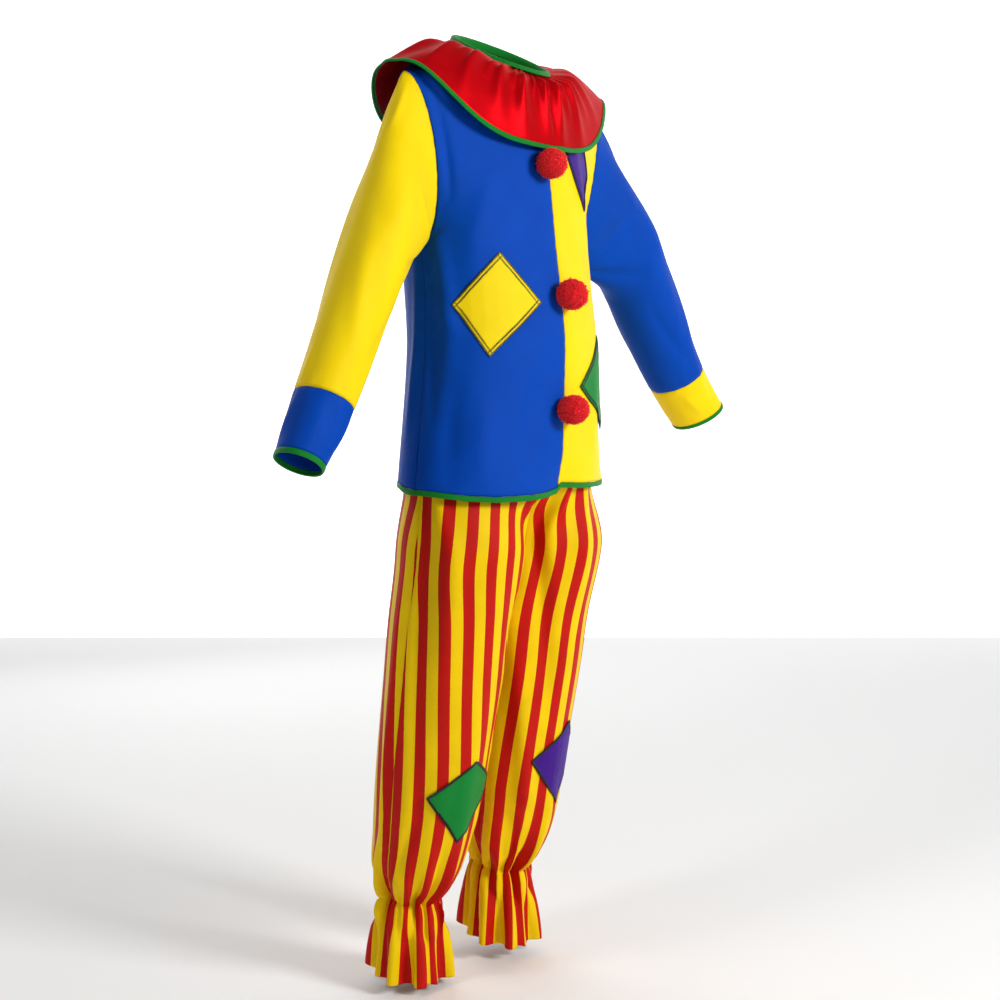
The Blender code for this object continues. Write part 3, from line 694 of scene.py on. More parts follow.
for entry in FINISHES:
    shader, flat, across, up = new_finish(entry.name)
    shade = noise(flat, MOTTLE, MOTTLE) * MOTTLE_SHARE + noise(flat, SLUB_LENGTH, SLUB_WIDTH) * SLUB_SHARE
    colour = shade.between_colours(linear(*entry.dark), linear(*entry.light))
    weave_finish(shader, flat, across, up, colour, entry)
    if entry.name == "satin_red":
        shader.inputs["Metallic"].default_value = SATIN_SHINE
        shader.inputs["Specular Tint"].default_value = SATIN_TINT
print("plain finishes:", ", ".join(finishes))

# %% [markdown]
# The trousers' stripes are woven into the cloth, red and yellow by turns. The flat place across tells the
# stripe, counted from the panel's grain line, so where a panel narrows the stripes run into its seams and
# meet as Vs.

# %% The striped finish
STRIPE_EDGE, STRIPE_EDGE_SHIFT = 0.004, 0.0006     # size and depth of the unevenness of a stripe's edge
SHADE_FROM, SHADE_RANGE = 0.78, 0.25               # of the slow changes of shade over the stripes
shader, flat, across, up = new_finish("stripes")
edge = noise(flat, STRIPE_EDGE, STRIPE_EDGE) * STRIPE_EDGE_SHIFT
red_stripe = ((across + edge + STRIPE / 2) % (2 * STRIPE)) > STRIPE
shade = noise(flat, MOTTLE, MOTTLE) * SHADE_RANGE + SHADE_FROM
dyed = red_stripe.between_colours(linear(*STRIPE_YELLOW), linear(*STRIPE_RED))
colour = flat.node("ShaderNodeMix", {0: shade, 6: (0.0, 0.0, 0.0, 1.0), 7: dyed}, output=2, data_type="RGBA")
weave_finish(shader, flat, across, up, colour, STRIPES_LOOK)
print("a stripe is", 1000 * STRIPE, "mm wide")

# %% [markdown]
# The blouse is four panels, blue on the wearer's right and yellow on the left, joined at the centre, the
# sides and the shoulders. It hangs loose, so its creases are few: short folds where the collar and the
# sleeve pull at the shoulder, long upright ones below the armpit and shallow ones that cross the front.

# %% Creases of the blouse
PANEL_CREASES = {
    "front_right": (
        Crease(0.86, 0.99, 0.80, 0.80, 0.0070, 0.0042, 0.003),
        Crease(0.76, 0.99, 0.72, 0.84, 0.0060, 0.0032, 0.002),
        Crease(0.66, 0.98, 0.64, 0.87, 0.0060, 0.0024, -0.002),
        Crease(0.93, 0.88, 0.84, 0.64, 0.0100, -0.0030, 0.006),
        Crease(0.97, 0.52, 0.90, 0.12, 0.0150, -0.0055, 0.006),
        Crease(0.86, 0.58, 0.80, 0.22, 0.0160, 0.0045, -0.006),
        Crease(0.99, 0.44, 0.62, 0.30, 0.0150, 0.0022, 0.012),
        Crease(0.40, 0.75, 0.62, 0.42, 0.0220, 0.0022, 0.010),
        Crease(0.20, 0.66, 0.36, 0.30, 0.0260, -0.0020, -0.008),
        Crease(0.10, 0.30, 0.30, 0.03, 0.0160, -0.0022, 0.005),
        Crease(0.52, 0.20, 0.50, 0.00, 0.0200, 0.0030, 0.004),
        Crease(0.74, 0.24, 0.72, 0.00, 0.0180, -0.0032, 0.003),
    ),
    "front_left": (
        Crease(0.84, 0.99, 0.80, 0.82, 0.0070, 0.0038, 0.003),
        Crease(0.72, 0.98, 0.70, 0.86, 0.0060, 0.0026, 0.002),
        Crease(0.94, 0.86, 0.82, 0.62, 0.0100, -0.0032, 0.006),
        Crease(0.97, 0.54, 0.88, 0.10, 0.0150, -0.0050, 0.008),
        Crease(0.84, 0.60, 0.76, 0.18, 0.0160, 0.0042, -0.006),
        Crease(0.30, 0.78, 0.46, 0.44, 0.0200, 0.0024, 0.008),
        Crease(0.12, 0.60, 0.24, 0.28, 0.0220, -0.0020, -0.006),
        Crease(0.34, 0.30, 0.30, 0.00, 0.0180, 0.0034, 0.004),
        Crease(0.58, 0.22, 0.60, 0.00, 0.0180, -0.0030, 0.003),
    ),
    "back_right": (
        Crease(0.82, 0.98, 0.74, 0.80, 0.0080, 0.0036, 0.004),
        Crease(0.60, 0.97, 0.58, 0.84, 0.0070, 0.0026, 0.002),
        Crease(0.92, 0.84, 0.70, 0.58, 0.0140, -0.0040, 0.010),
        Crease(0.95, 0.52, 0.84, 0.08, 0.0160, 0.0048, 0.006),
        Crease(0.30, 0.90, 0.36, 0.46, 0.0220, 0.0034, 0.008),
        Crease(0.10, 0.70, 0.14, 0.24, 0.0200, -0.0030, 0.004),
        Crease(0.50, 0.40, 0.44, 0.00, 0.0200, -0.0040, 0.004),
        Crease(0.22, 0.26, 0.26, 0.00, 0.0180, 0.0030, 0.003),
    ),
    "back_left": (
        Crease(0.80, 0.98, 0.76, 0.82, 0.0080, 0.0034, 0.003),
        Crease(0.62, 0.97, 0.56, 0.86, 0.0070, 0.0028, 0.002),
        Crease(0.93, 0.82, 0.66, 0.60, 0.0150, -0.0044, 0.012),
        Crease(0.94, 0.50, 0.88, 0.12, 0.0150, 0.0040, 0.006),
        Crease(0.34, 0.88, 0.30, 0.50, 0.0210, 0.0030, -0.008),
        Crease(0.14, 0.62, 0.12, 0.20, 0.0200, -0.0026, 0.004),
        Crease(0.60, 0.36, 0.66, 0.00, 0.0200, 0.0036, 0.004),
        Crease(0.36, 0.30, 0.34, 0.00, 0.0170, -0.0032, 0.003),
    ),
}
print({panel: len(creases) for panel, creases in PANEL_CREASES.items()})

# %% The four panels
FINE_COLUMNS, FINE_HEM_ROWS, FINE_ARMHOLE_ROWS = 88, 66, 60
SIDES = {RIGHT: "right", LEFT: "left"}
FACES = {FRONT: "front", BACK: "back"}


def drawn_in(points, first=SEAM, last=SEAM, top=SEAM):
    """The lattice with its sewn edges moved in by half of their seams' gaps."""
    points = points.copy()
    for edge, beside, gap in ((np.s_[:, 0], np.s_[:, 1], first), (np.s_[:, -1], np.s_[:, -2], last),
                              (np.s_[-1], np.s_[-2], top)):
        step = points[beside] - points[edge]
        points[edge] += step / np.linalg.norm(step, axis=-1, keepdims=True) * gap / 2
    return points


Droop = namedtuple("Droop", "x front back")
# How far the hem hangs below its level, from the wearer's right to the left, in metres
HEM_DROOP = (
    Droop(-0.208, 0.003, 0.003), Droop(-0.196, 0.006, -0.005), Droop(-0.170, 0.011, -0.008),
    Droop(-0.130, 0.014, -0.003), Droop(-0.070, 0.013, 0.003), Droop(-0.030, 0.010, 0.004),
    Droop(-0.004, 0.005, 0.003), Droop(0.006, -0.004, 0.003), Droop(0.060, -0.001, 0.005),
    Droop(0.130, -0.001, 0.004), Droop(0.170, -0.003, 0.000), Droop(0.208, -0.004, -0.004),
)
DROOP_OVER = 0.140        # height above the hem over which it fades


def hang(points, front):
    """Lowers the points near the hem; front holds 1 where a point is on the front and 0 on the back."""
    x = points[:, :, 0]
    places, in_front, behind = zip(*HEM_DROOP)
    droop = np.interp(x, places, in_front) * front + np.interp(x, places, behind) * (1 - front)
    points[:, :, 2] -= droop * soft_step((HEM + DROOP_OVER - points[:, :, 2]) / DROOP_OVER)


NECK_SETTLES = 0.011      # how far the front of the neck sinks under the collar's weight
NECK_REACH = 0.090        # distance from the neck edge over which that fades
SETTLED_ABOVE, SETTLED_OVER = -0.110, 0.080     # the height where it begins, and how soon it is whole


def settle(points):
    """Lowers the front of the neck, the same for every piece that is sewn there."""
    from_middle = np.hypot(points[:, :, 0], points[:, :, 1])
    front = (1 - points[:, :, 1] / from_middle) / 2
    near = soft_step(1 - (from_middle - NECK_HALF_DEPTH) / NECK_REACH)
    high = soft_step((points[:, :, 2] - SETTLED_ABOVE) / SETTLED_OVER)
    points[:, :, 2] -= NECK_SETTLES * front * near * high


def blouse_panel(side, face):
    node = f"{FACES[face]}_{SIDES[side]}"
    points = drawn_in(lattice(blouse_rows(side, face, FINE_COLUMNS, FINE_HEM_ROWS, FINE_ARMHOLE_ROWS)))
    hang(points, 1.0 if face == FRONT else 0.0)
    settle(points)
    heights = sewn_heights(points, PANEL_CREASES[node], ("first", "last", "top"))
    finish = "cloth_blue" if side == RIGHT else "cloth_yellow"
    return cloth(node, points, finish, flip=side * face > 0, heights=heights)


for side in SIDES:
    for face in FACES:
        panel = blouse_panel(side, face)
        print(panel.name, "has", len(panel.data.polygons), "faces")

# %% [markdown]
# A narrow green binding is folded round the raw hem. It follows the same level sections as the panels, a
# little thicker than they are, with its two layers and the turned edge inside it.

# %% The hem binding
BINDING_OFFSET = -0.6     # the share of its wall that lies inside the panel's surface
BINDING_SWELL = 0.0005    # it is rounded across, as folded cloth is
BINDING_ROWS = 8


def swelling(rows, columns):
    profile = np.sin(np.linspace(0, math.pi, rows)) * BINDING_SWELL
    return np.repeat(profile[:, None], columns, axis=1)


def hem_ring(z):
    ring = []
    for side, face in ((LEFT, FRONT), (LEFT, BACK), (RIGHT, BACK), (RIGHT, FRONT)):
        section = between(BLOUSE, z)
        centre_y = section.front_y if face == FRONT else section.back_y
        start, end = Vector((0.0, centre_y, z)), Vector((section.side_x, section.side_y, z))
        row = arc_row(start, end, math.pi / 2, FINE_COLUMNS)
        for column, point in enumerate(row):
            point.y += face * fold_depth(side, face, column / FINE_COLUMNS, z)
            point.x *= side
        ring += row[::-1][:-1] if side * face > 0 else row[:-1]
    return ring


points = lattice([hem_ring(HEM + BINDING_WIDTH * row / BINDING_ROWS) for row in range(BINDING_ROWS + 1)],
                 closed=True)
hang(points, (points[:, :, 1] < points[:, :, 1].mean()).astype(float))
cloth("hem_binding", points, "binding_green", closed=True, thickness=BINDING,
      offset=BINDING_OFFSET, heights=swelling(*points.shape[:2]))
print("the hem binding goes", round(1000 * np.ptp(flat_places(points)[0])), "mm round")

# %% [markdown]
# A sleeve is a tube that starts at the slanted armhole and fades into a straight, slightly flattened arm.
# Its cloth is stretched along the outside and loose at the underarm, so the creases start there and fan
# down the arm.

# %% The sleeves
SLEEVE_CREASES = (
    Crease(0.02, 0.03, 0.20, 0.42, 0.0100, -0.0038, 0.012),
    Crease(0.05, 0.02, 0.34, 0.26, 0.0100, 0.0030, 0.010),
    Crease(0.30, 0.08, 0.36, 0.55, 0.0180, 0.0030, 0.010),
    Crease(0.46, 0.02, 0.47, 0.20, 0.0080, 0.0024, 0.003),
    Crease(0.54, 0.02, 0.56, 0.24, 0.0080, 0.0020, 0.003),
    Crease(0.40, 0.45, 0.30, 0.90, 0.0160, 0.0026, -0.010),
    Crease(0.12, 0.50, 0.26, 0.96, 0.0150, -0.0028, 0.008),
    Crease(0.60, 0.30, 0.66, 0.80, 0.0180, 0.0028, 0.008),
    Crease(0.98, 0.03, 0.80, 0.44, 0.0110, -0.0036, -0.012),
    Crease(0.94, 0.04, 0.66, 0.28, 0.0100, 0.0028, -0.010),
    Crease(0.86, 0.50, 0.74, 0.96, 0.0150, 0.0026, -0.008),
    Crease(0.50, 0.86, 0.52, 1.00, 0.0090, 0.0016, 0.002),
)
CUFF_CREASES = (
    Crease(0.10, 0.02, 0.18, 0.90, 0.0090, 0.0016, 0.004),
    Crease(0.34, 0.00, 0.30, 0.70, 0.0080, -0.0016, 0.003),
    Crease(0.52, 0.05, 0.58, 0.95, 0.0110, 0.0018, 0.004),
    Crease(0.76, 0.00, 0.70, 0.80, 0.0090, -0.0014, 0.003),
)
TUBE_COLUMNS, SLEEVE_FINE_ROWS, CUFF_ROWS = 112, 96, 22


def sleeve_lattice(arm):
    along, _, _, top = arm_frame(arm)
    rows = []
    for step in range(SLEEVE_FINE_ROWS + 1):
        share = step / SLEEVE_FINE_ROWS
        fade = 1.0 - soft_step(share / SLEEVE_EASE)
        row = []
        for column in range(TUBE_COLUMNS):
            turn = 2 * math.pi * column / TUBE_COLUMNS
            seam = armhole_ring(arm, turn)
            first = (seam - top).dot(along)
            distance = mix(first + SEAM, arm.length - SEAM, share)
            off_tube = seam - sleeve_section(arm, first, turn)
            row.append(sleeve_section(arm, distance, turn) + off_tube * fade)
        rows.append(row)
    return lattice(rows, closed=True)


def cuff_lattice(arm, start, end, count):
    return lattice([[sleeve_section(arm, arm.length + mix(start, end, step / count),
                                    2 * math.pi * column / TUBE_COLUMNS) for column in range(TUBE_COLUMNS)]
                    for step in range(count + 1)], closed=True)


for arm in ARMS:
    hand, flip = SIDES[arm.side], arm.side == LEFT
    main, other = ("cloth_yellow", "cloth_blue") if arm.side == RIGHT else ("cloth_blue", "cloth_yellow")
    points = sleeve_lattice(arm)
    round_top = 1000 * np.ptp(flat_places(points)[0][0])
    heights = sewn_heights(points, SLEEVE_CREASES, ("bottom", "top"))
    cloth(f"sleeve_{hand}", points, main, closed=True, flip=flip, heights=heights)
    points = cuff_lattice(arm, 0.0, CUFF_LENGTH - BINDING_WIDTH - SEAM, CUFF_ROWS)
    heights = sewn_heights(points, CUFF_CREASES, ("bottom",))
    cloth(f"cuff_{hand}", points, other, closed=True, flip=flip, heights=heights)
    points = cuff_lattice(arm, CUFF_LENGTH - BINDING_WIDTH, CUFF_LENGTH, BINDING_ROWS)
    cloth(f"cuff_binding_{hand}", points, "binding_green", closed=True, flip=flip,
          thickness=BINDING, offset=BINDING_OFFSET, heights=swelling(*points.shape[:2]))
    print("the", hand, "sleeve goes", round(round_top), "mm round at the top")

# %% [markdown]
# The collar is a long strip of red satin, gathered on to the neck edge. Close to the neck it is drawn into
# many fine gathers, and below them fewer folds run out and die away before the smooth outer edge. Both
# kinds are placed in degrees round the neck from the centre front, with the wearer's left at 90.

# %% The collar's folds and gathers
Ridge = namedtuple("Ridge", "place lean width depth reach")     # degrees, degrees, degrees, metres, share
COLLAR_RIDGES = (
    Ridge(-176, 3, 4.2, 0.0052, 0.95), Ridge(-162, -3, 3.4, 0.0040, 0.70), Ridge(-150, 2, 4.0, 0.0056, 1.05),
    Ridge(-137, 3, 3.2, 0.0036, 0.60), Ridge(-125, -2, 3.8, 0.0050, 0.90), Ridge(-112, 2, 3.4, 0.0040, 0.75),
    Ridge(-99, 4, 3.0, 0.0100, 1.25), Ridge(-84, 7, 2.6, 0.0034, 0.55), Ridge(-76, 9, 3.2, 0.0096, 1.00),
    Ridge(-66, 6, 2.4, 0.0040, 0.62), Ridge(-58, 10, 3.4, 0.0096, 1.04), Ridge(-47, 6, 2.2, 0.0038, 0.58),
    Ridge(-40, 9, 3.2, 0.0066, 0.92), Ridge(-30, 5, 2.0, 0.0034, 0.50), Ridge(-24, 6, 3.4, 0.0078, 1.04),
    Ridge(-14, 2, 2.0, 0.0040, 0.66), Ridge(-6, 4, 3.0, 0.0064, 0.96), Ridge(3, -3, 2.2, 0.0044, 0.60),
    Ridge(11, -5, 3.0, 0.0074, 1.06), Ridge(21, -4, 2.2, 0.0042, 0.72), Ridge(30, -7, 3.0, 0.0068, 1.04),
    Ridge(41, -5, 2.4, 0.0046, 0.78), Ridge(52, -7, 3.4, 0.0062, 0.98), Ridge(64, -4, 3.0, 0.0044, 0.70),
    Ridge(77, -5, 3.6, 0.0056, 0.90), Ridge(95, -3, 5.0, 0.0072, 1.15), Ridge(113, 2, 3.6, 0.0042, 0.80),
    Ridge(127, -2, 3.6, 0.0052, 0.95), Ridge(141, 3, 3.4, 0.0038, 0.65), Ridge(154, -3, 4.0, 0.0054, 1.00),
    Ridge(168, 2, 3.6, 0.0044, 0.80),
)
NECK_GATHERS = (
    -179, -169, -160, -149, -140, -131, -120, -110, -102, -91, -83, -75, -66, -60, -52, -46, -39, -31, -26,
    -18, -12, -4, 2, 9, 17, 23, 32, 39, 48, 55, 66, 75, 87, 98, 107, 118, 128, 137, 149, 158, 170,
)
GATHER_DEPTH, GATHER_WIDTH, GATHER_REACH = 0.0036, 1.8, 0.20
GATHER_FROM = 0.05        # share of the way out where a gather is highest
GATHER_SHORTEST, GATHER_VARIES = 0.7, 0.6     # of its reach, so that no two neighbours end together
GOLDEN_SHARE = 0.618
FOLD_STRENGTH = 1.6       # of all the folds together
FOLD_SPREADS = 0.75       # of a fold's width at the neck, and as much again added at the edge
FOLD_STARTS, FOLD_WHOLE = 0.25, 0.22          # its share of height at the neck, and where it is whole
FOLD_FADES = 0.7          # share of its length over which it dies away
RIDGE_MEAN = 0.0030       # taken off all round, so that the collar keeps its place on average


def across_degrees(turn, place):
    return (turn - place + 180.0) % 360.0 - 180.0


def collar_relief(turn, reach):
    """Height of the folds at arrays of degrees and of shares of the way out from the neck."""
    heights = np.full(turn.shape, -RIDGE_MEAN)
    for ridge in COLLAR_RIDGES:
        off = across_degrees(turn, ridge.place + ridge.lean * reach)
        spread = ridge.width * (FOLD_SPREADS + FOLD_SPREADS * reach)
        rise = np.clip(reach / FOLD_WHOLE, FOLD_STARTS, 1.0)
        rise *= np.clip((ridge.reach - reach) / (FOLD_FADES * ridge.reach), 0.0, 1.0)
        heights += FOLD_STRENGTH * ridge.depth * rise * np.exp(-(off / spread) ** 2)
    for index, place in enumerate(NECK_GATHERS):
        reach_here = GATHER_REACH * (GATHER_SHORTEST + GATHER_VARIES * (index * GOLDEN_SHARE % 1.0))
        bell = np.exp(-(across_degrees(turn, place) / GATHER_WIDTH) ** 2)
        heights += GATHER_DEPTH * bell * np.exp(-((reach - GATHER_FROM) / reach_here) ** 2)
    return heights


print(len(COLLAR_RIDGES), "folds and", len(NECK_GATHERS), "gathers")

# %% [markdown]
# The satin stands off a straight fall between the neck and its edge, most halfway between front and side.
# The folds are added straight outwards, so that they never lean into the blouse below.

# %% The collar
COLLAR_FINE_COLUMNS, COLLAR_FINE_ROWS = 420, 56
COLLAR_BINDING_FROM = 0.957       # share of the way out where the binding takes over
COLLAR_BINDING_OFFSET = -0.4      # the share of its wall that lies inside the collar's surface
OUTWARD_SHARE, UPWARD_SHARE = 0.5, 0.8      # of the swell, outwards and up
OUTWARD_RISE = 0.06               # how far the folds' direction leans up, beside the edge's x and y
NECK_FLAT, NECK_FLAT_REACH = 0.55, 0.35     # the gathers hold the satin down beside the neck binding


def collar_point(turn, reach):
    """The collar's surface without its folds: reach is 0 at the neck and 1 at the outer edge."""
    neck = neck_point(2 * math.pi - turn if turn > math.pi else turn)
    neck.x = math.copysign(neck.x, math.sin(turn))
    neck.z += COLLAR_RISE
    edge = collar_edge(turn)
    lift = math.sin(math.pi * reach ** COLLAR_SWELL_EARLY)
    lift *= mix(NECK_FLAT, 1.0, soft_step(reach / NECK_FLAT_REACH))
    lift *= mix(COLLAR_SWELL, COLLAR_SWELL_ASLANT, abs(math.sin(2.0 * turn)))
    outward = Vector((edge.x, edge.y, OUTWARD_RISE)).normalized()
    swell_way = Vector((outward.x * OUTWARD_SHARE, outward.y * OUTWARD_SHARE, UPWARD_SHARE))
    return neck.lerp(edge, reach) + swell_way * lift, outward


def collar_lattice(start, end, count):
    turns = [2 * math.pi * column / COLLAR_FINE_COLUMNS for column in range(COLLAR_FINE_COLUMNS)]
    reaches = [mix(start, end, step / count) for step in range(count + 1)]
    pairs = [[collar_point(turn, reach) for turn in turns] for reach in reaches]
    base = lattice([[point for point, _ in row] for row in pairs], closed=True)
    outward = lattice([[way for _, way in row] for row in pairs], closed=True)
    turn = np.degrees(np.array([turns + [turns[0] + 2 * math.pi]] * len(reaches)))
    reach = np.repeat(np.array(reaches)[:, None], COLLAR_FINE_COLUMNS + 1, axis=1)
    settle(base)
    return base + outward * collar_relief(turn, reach)[:, :, None]


points = collar_lattice(0.0, COLLAR_BINDING_FROM, COLLAR_FINE_ROWS)
cloth("collar", points, "satin_red", closed=True, flip=True)
print("the collar's edge goes", round(1000 * np.ptp(flat_places(points)[0][-1])), "mm round")

points = collar_lattice(COLLAR_BINDING_FROM, 1.0, BINDING_ROWS)
cloth("collar_binding", points, "binding_green", closed=True, flip=True,
      thickness=BINDING, offset=COLLAR_BINDING_OFFSET, heights=swelling(*points.shape[:2]))

# %% [markdown]
# The neck binding is folded over the gathered edge, so it is seen from inside the neck and from outside,
# above the first gathers. Its profile goes up inside, over the top and down outside.

# %% The neck binding
# Share of the way across the binding, share of the neck's size, metres above the neck curve
Profile = namedtuple("Profile", "across inset height")
NECK_PROFILE = (
    Profile(0.00, NECK_BINDING_INSET, -0.0010),
    Profile(0.35, NECK_BINDING_INSET, 0.0080),
    Profile(0.52, 0.985, 0.0122),
    Profile(0.72, 1.030, 0.0110),
    Profile(1.00, 1.058, 0.0052),
)
NECK_COLUMNS, NECK_ROWS = 160, 14
NECK_BINDING = 0.0016             # thickness


def neck_ring(profile):
    ring = []
    for column in range(NECK_COLUMNS):
        turn = 2 * math.pi * column / NECK_COLUMNS
        point = neck_point(2 * math.pi - turn if turn > math.pi else turn)
        point.x = math.copysign(point.x, math.sin(turn)) * profile.inset
        point.y *= profile.inset
        point.z += profile.height
        ring.append(point)
    return ring


points = lattice([neck_ring(between(NECK_PROFILE, row / NECK_ROWS)) for row in range(NECK_ROWS + 1)],
                 closed=True)
settle(points)
cloth("neck_binding", points, "binding_green", closed=True, thickness=NECK_BINDING)
print("the neck binding goes", round(1000 * np.ptp(flat_places(points)[0][0])), "mm round")

# %% [markdown]
# The trousers are four striped panels. An elastic drawn through each leg above the ankle gathers the cloth,
# and what is left below it stands out as a ruffle. The gathers are tightest at the elastic and open both
# ways, unevenly.

# %% Gathers and creases of the trousers
ELASTIC = -1.342          # height of the elastic on the right leg
GATHER_POINT = 1.5        # 2 would make round gathers; cloth crowded by elastic has sharper ones
RIDGE_STRENGTH, VALLEY_STRENGTH = 1.25, 1.5     # of all the gathers that stand out, and of those between
GATHER_OPENS = 0.06       # height over which a gather doubles in width
GATHER_LEANS = 0.1        # height over which it leans by its own share
# Across, width and lean are shares of the panel, and the others are in metres
Gather = namedtuple("Gather", "across width depth above below lean")
LEG_GATHERS = (
    Gather(0.05, 0.020, 0.0052, 0.050, 0.090, 0.02), Gather(0.12, 0.015, -0.0046, 0.034, 0.050, 0.00),
    Gather(0.19, 0.022, 0.0060, 0.080, 0.070, -0.03), Gather(0.26, 0.015, -0.0050, 0.050, 0.036, 0.02),
    Gather(0.33, 0.018, 0.0050, 0.040, 0.110, 0.00), Gather(0.40, 0.016, -0.0056, 0.070, 0.060, -0.02),
    Gather(0.47, 0.022, 0.0064, 0.090, 0.046, 0.03), Gather(0.54, 0.015, -0.0044, 0.030, 0.080, 0.01),
    Gather(0.61, 0.020, 0.0056, 0.060, 0.090, -0.02), Gather(0.68, 0.016, -0.0054, 0.064, 0.040, 0.02),
    Gather(0.75, 0.018, 0.0050, 0.044, 0.115, 0.01), Gather(0.82, 0.015, -0.0048, 0.036, 0.056, -0.02),
    Gather(0.89, 0.022, 0.0060, 0.084, 0.064, 0.02), Gather(0.96, 0.016, -0.0044, 0.050, 0.046, 0.00),
)
HEM_WAVES = (
    Gather(0.09, 0.040, 0.0070, 0.090, 0.100, 0.00), Gather(0.22, 0.034, -0.0060, 0.080, 0.100, 0.02),
    Gather(0.36, 0.046, 0.0064, 0.090, 0.100, 0.00), Gather(0.52, 0.036, -0.0066, 0.090, 0.100, -0.02),
    Gather(0.68, 0.040, 0.0070, 0.080, 0.100, 0.02), Gather(0.84, 0.036, -0.0060, 0.070, 0.100, 0.00),
)
LEG_CREASES = {
    "leg_front_right": (
        Crease(0.00, 0.97, 0.24, 0.82, 0.0110, 0.0060, 0.006),
        Crease(0.02, 0.90, 0.34, 0.72, 0.0130, -0.0060, 0.008),
        Crease(0.03, 0.80, 0.26, 0.50, 0.0140, 0.0056, 0.010),
        Crease(0.97, 0.93, 0.84, 0.60, 0.0110, -0.0048, 0.006),
        Crease(0.92, 0.97, 0.74, 0.66, 0.0150, 0.0050, -0.006),
        Crease(0.80, 0.64, 0.90, 0.36, 0.0120, -0.0052, 0.006),
        Crease(0.50, 0.72, 0.56, 0.44, 0.0220, 0.0036, 0.006),
        Crease(0.12, 0.50, 0.20, 0.30, 0.0140, -0.0040, 0.004),
        Crease(0.88, 0.40, 0.80, 0.15, 0.0110, 0.0062, 0.008),
        Crease(0.96, 0.36, 0.92, 0.15, 0.0090, -0.0058, 0.004),
        Crease(0.72, 0.34, 0.66, 0.14, 0.0110, -0.0064, 0.005),
        Crease(0.60, 0.30, 0.54, 0.14, 0.0100, 0.0058, 0.004),
        Crease(0.30, 0.34, 0.40, 0.14, 0.0110, 0.0060, 0.005),
        Crease(0.16, 0.34, 0.28, 0.15, 0.0100, -0.0056, 0.004),
    ),
    "leg_front_left": (
        Crease(0.00, 0.98, 0.30, 0.78, 0.0120, 0.0066, 0.008),
        Crease(0.02, 0.92, 0.40, 0.66, 0.0130, -0.0070, 0.010),
        Crease(0.04, 0.82, 0.34, 0.52, 0.0140, 0.0060, 0.010),
        Crease(0.30, 0.96, 0.52, 0.74, 0.0140, 0.0046, 0.006),
        Crease(0.94, 0.90, 0.80, 0.58, 0.0140, -0.0048, 0.006),
        Crease(0.56, 0.60, 0.62, 0.36, 0.0200, 0.0036, -0.004),
        Crease(0.22, 0.52, 0.30, 0.28, 0.0150, -0.0046, 0.006),
        Crease(0.10, 0.40, 0.22, 0.15, 0.0110, 0.0060, 0.005),
        Crease(0.34, 0.36, 0.40, 0.14, 0.0110, -0.0060, 0.004),
        Crease(0.52, 0.34, 0.50, 0.14, 0.0110, 0.0058, 0.004),
        Crease(0.74, 0.36, 0.66, 0.14, 0.0110, -0.0056, -0.004),
        Crease(0.90, 0.38, 0.84, 0.15, 0.0110, 0.0056, 0.004),
    ),
    "leg_back_right": (
        Crease(0.02, 0.94, 0.42, 0.72, 0.0140, -0.0066, 0.012),
        Crease(0.04, 0.86, 0.48, 0.62, 0.0140, 0.0060, 0.012),
        Crease(0.94, 0.86, 0.88, 0.36, 0.0150, 0.0052, 0.008),
        Crease(0.84, 0.70, 0.92, 0.30, 0.0120, -0.0050, 0.006),
        Crease(0.58, 0.60, 0.54, 0.24, 0.0200, -0.0046, 0.008),
        Crease(0.34, 0.46, 0.40, 0.14, 0.0130, 0.0056, 0.006),
        Crease(0.92, 0.38, 0.84, 0.15, 0.0100, 0.0060, 0.006),
        Crease(0.74, 0.36, 0.70, 0.14, 0.0110, -0.0056, 0.004),
        Crease(0.18, 0.38, 0.20, 0.15, 0.0110, -0.0052, 0.004),
    ),
    "leg_back_left": (
        Crease(0.03, 0.95, 0.38, 0.74, 0.0140, -0.0062, 0.012),
        Crease(0.05, 0.88, 0.52, 0.64, 0.0140, 0.0058, 0.012),
        Crease(0.93, 0.84, 0.86, 0.38, 0.0150, 0.0050, 0.008),
        Crease(0.64, 0.58, 0.58, 0.26, 0.0200, -0.0044, 0.008),
        Crease(0.36, 0.44, 0.34, 0.14, 0.0130, 0.0054, 0.006),
        Crease(0.84, 0.38, 0.78, 0.14, 0.0110, 0.0056, 0.004),
        Crease(0.66, 0.36, 0.64, 0.14, 0.0110, -0.0054, 0.004),
        Crease(0.18, 0.36, 0.14, 0.15, 0.0110, -0.0052, 0.004),
    ),
}


def gather_heights(z, columns, gathers, middle):
    """Height of gathers that are tightest at one height of the leg, the middle."""
    across = np.repeat(np.linspace(0, 1, columns)[None, :], len(z), axis=0)
    rise = np.repeat((np.array(z) - middle)[:, None], columns, axis=1)
    heights = np.zeros(across.shape)
    for gather in gathers:
        spread = gather.width * (1.0 + np.abs(rise) / GATHER_OPENS)
        reach = np.where(rise > 0, gather.above, gather.below)
        off = across - gather.across - gather.lean * rise / GATHER_LEANS
        height = gather.depth * (RIDGE_STRENGTH if gather.depth > 0 else VALLEY_STRENGTH)
        heights += height * np.exp(-(np.abs(off) / spread) ** GATHER_POINT) * np.exp(-(rise / reach) ** 2)
    return heights


print({panel: len(creases) for panel, creases in LEG_CREASES.items()})

# %% [markdown]
# The stripes follow one line of the weave down each leg, so their flat places are measured from that grain
# line. Below the knee the cloth isn't cut narrower: the elastic only crowds it. The places above the
# gathers are kept from there down, which lets the stripes bend into the elastic and out again.

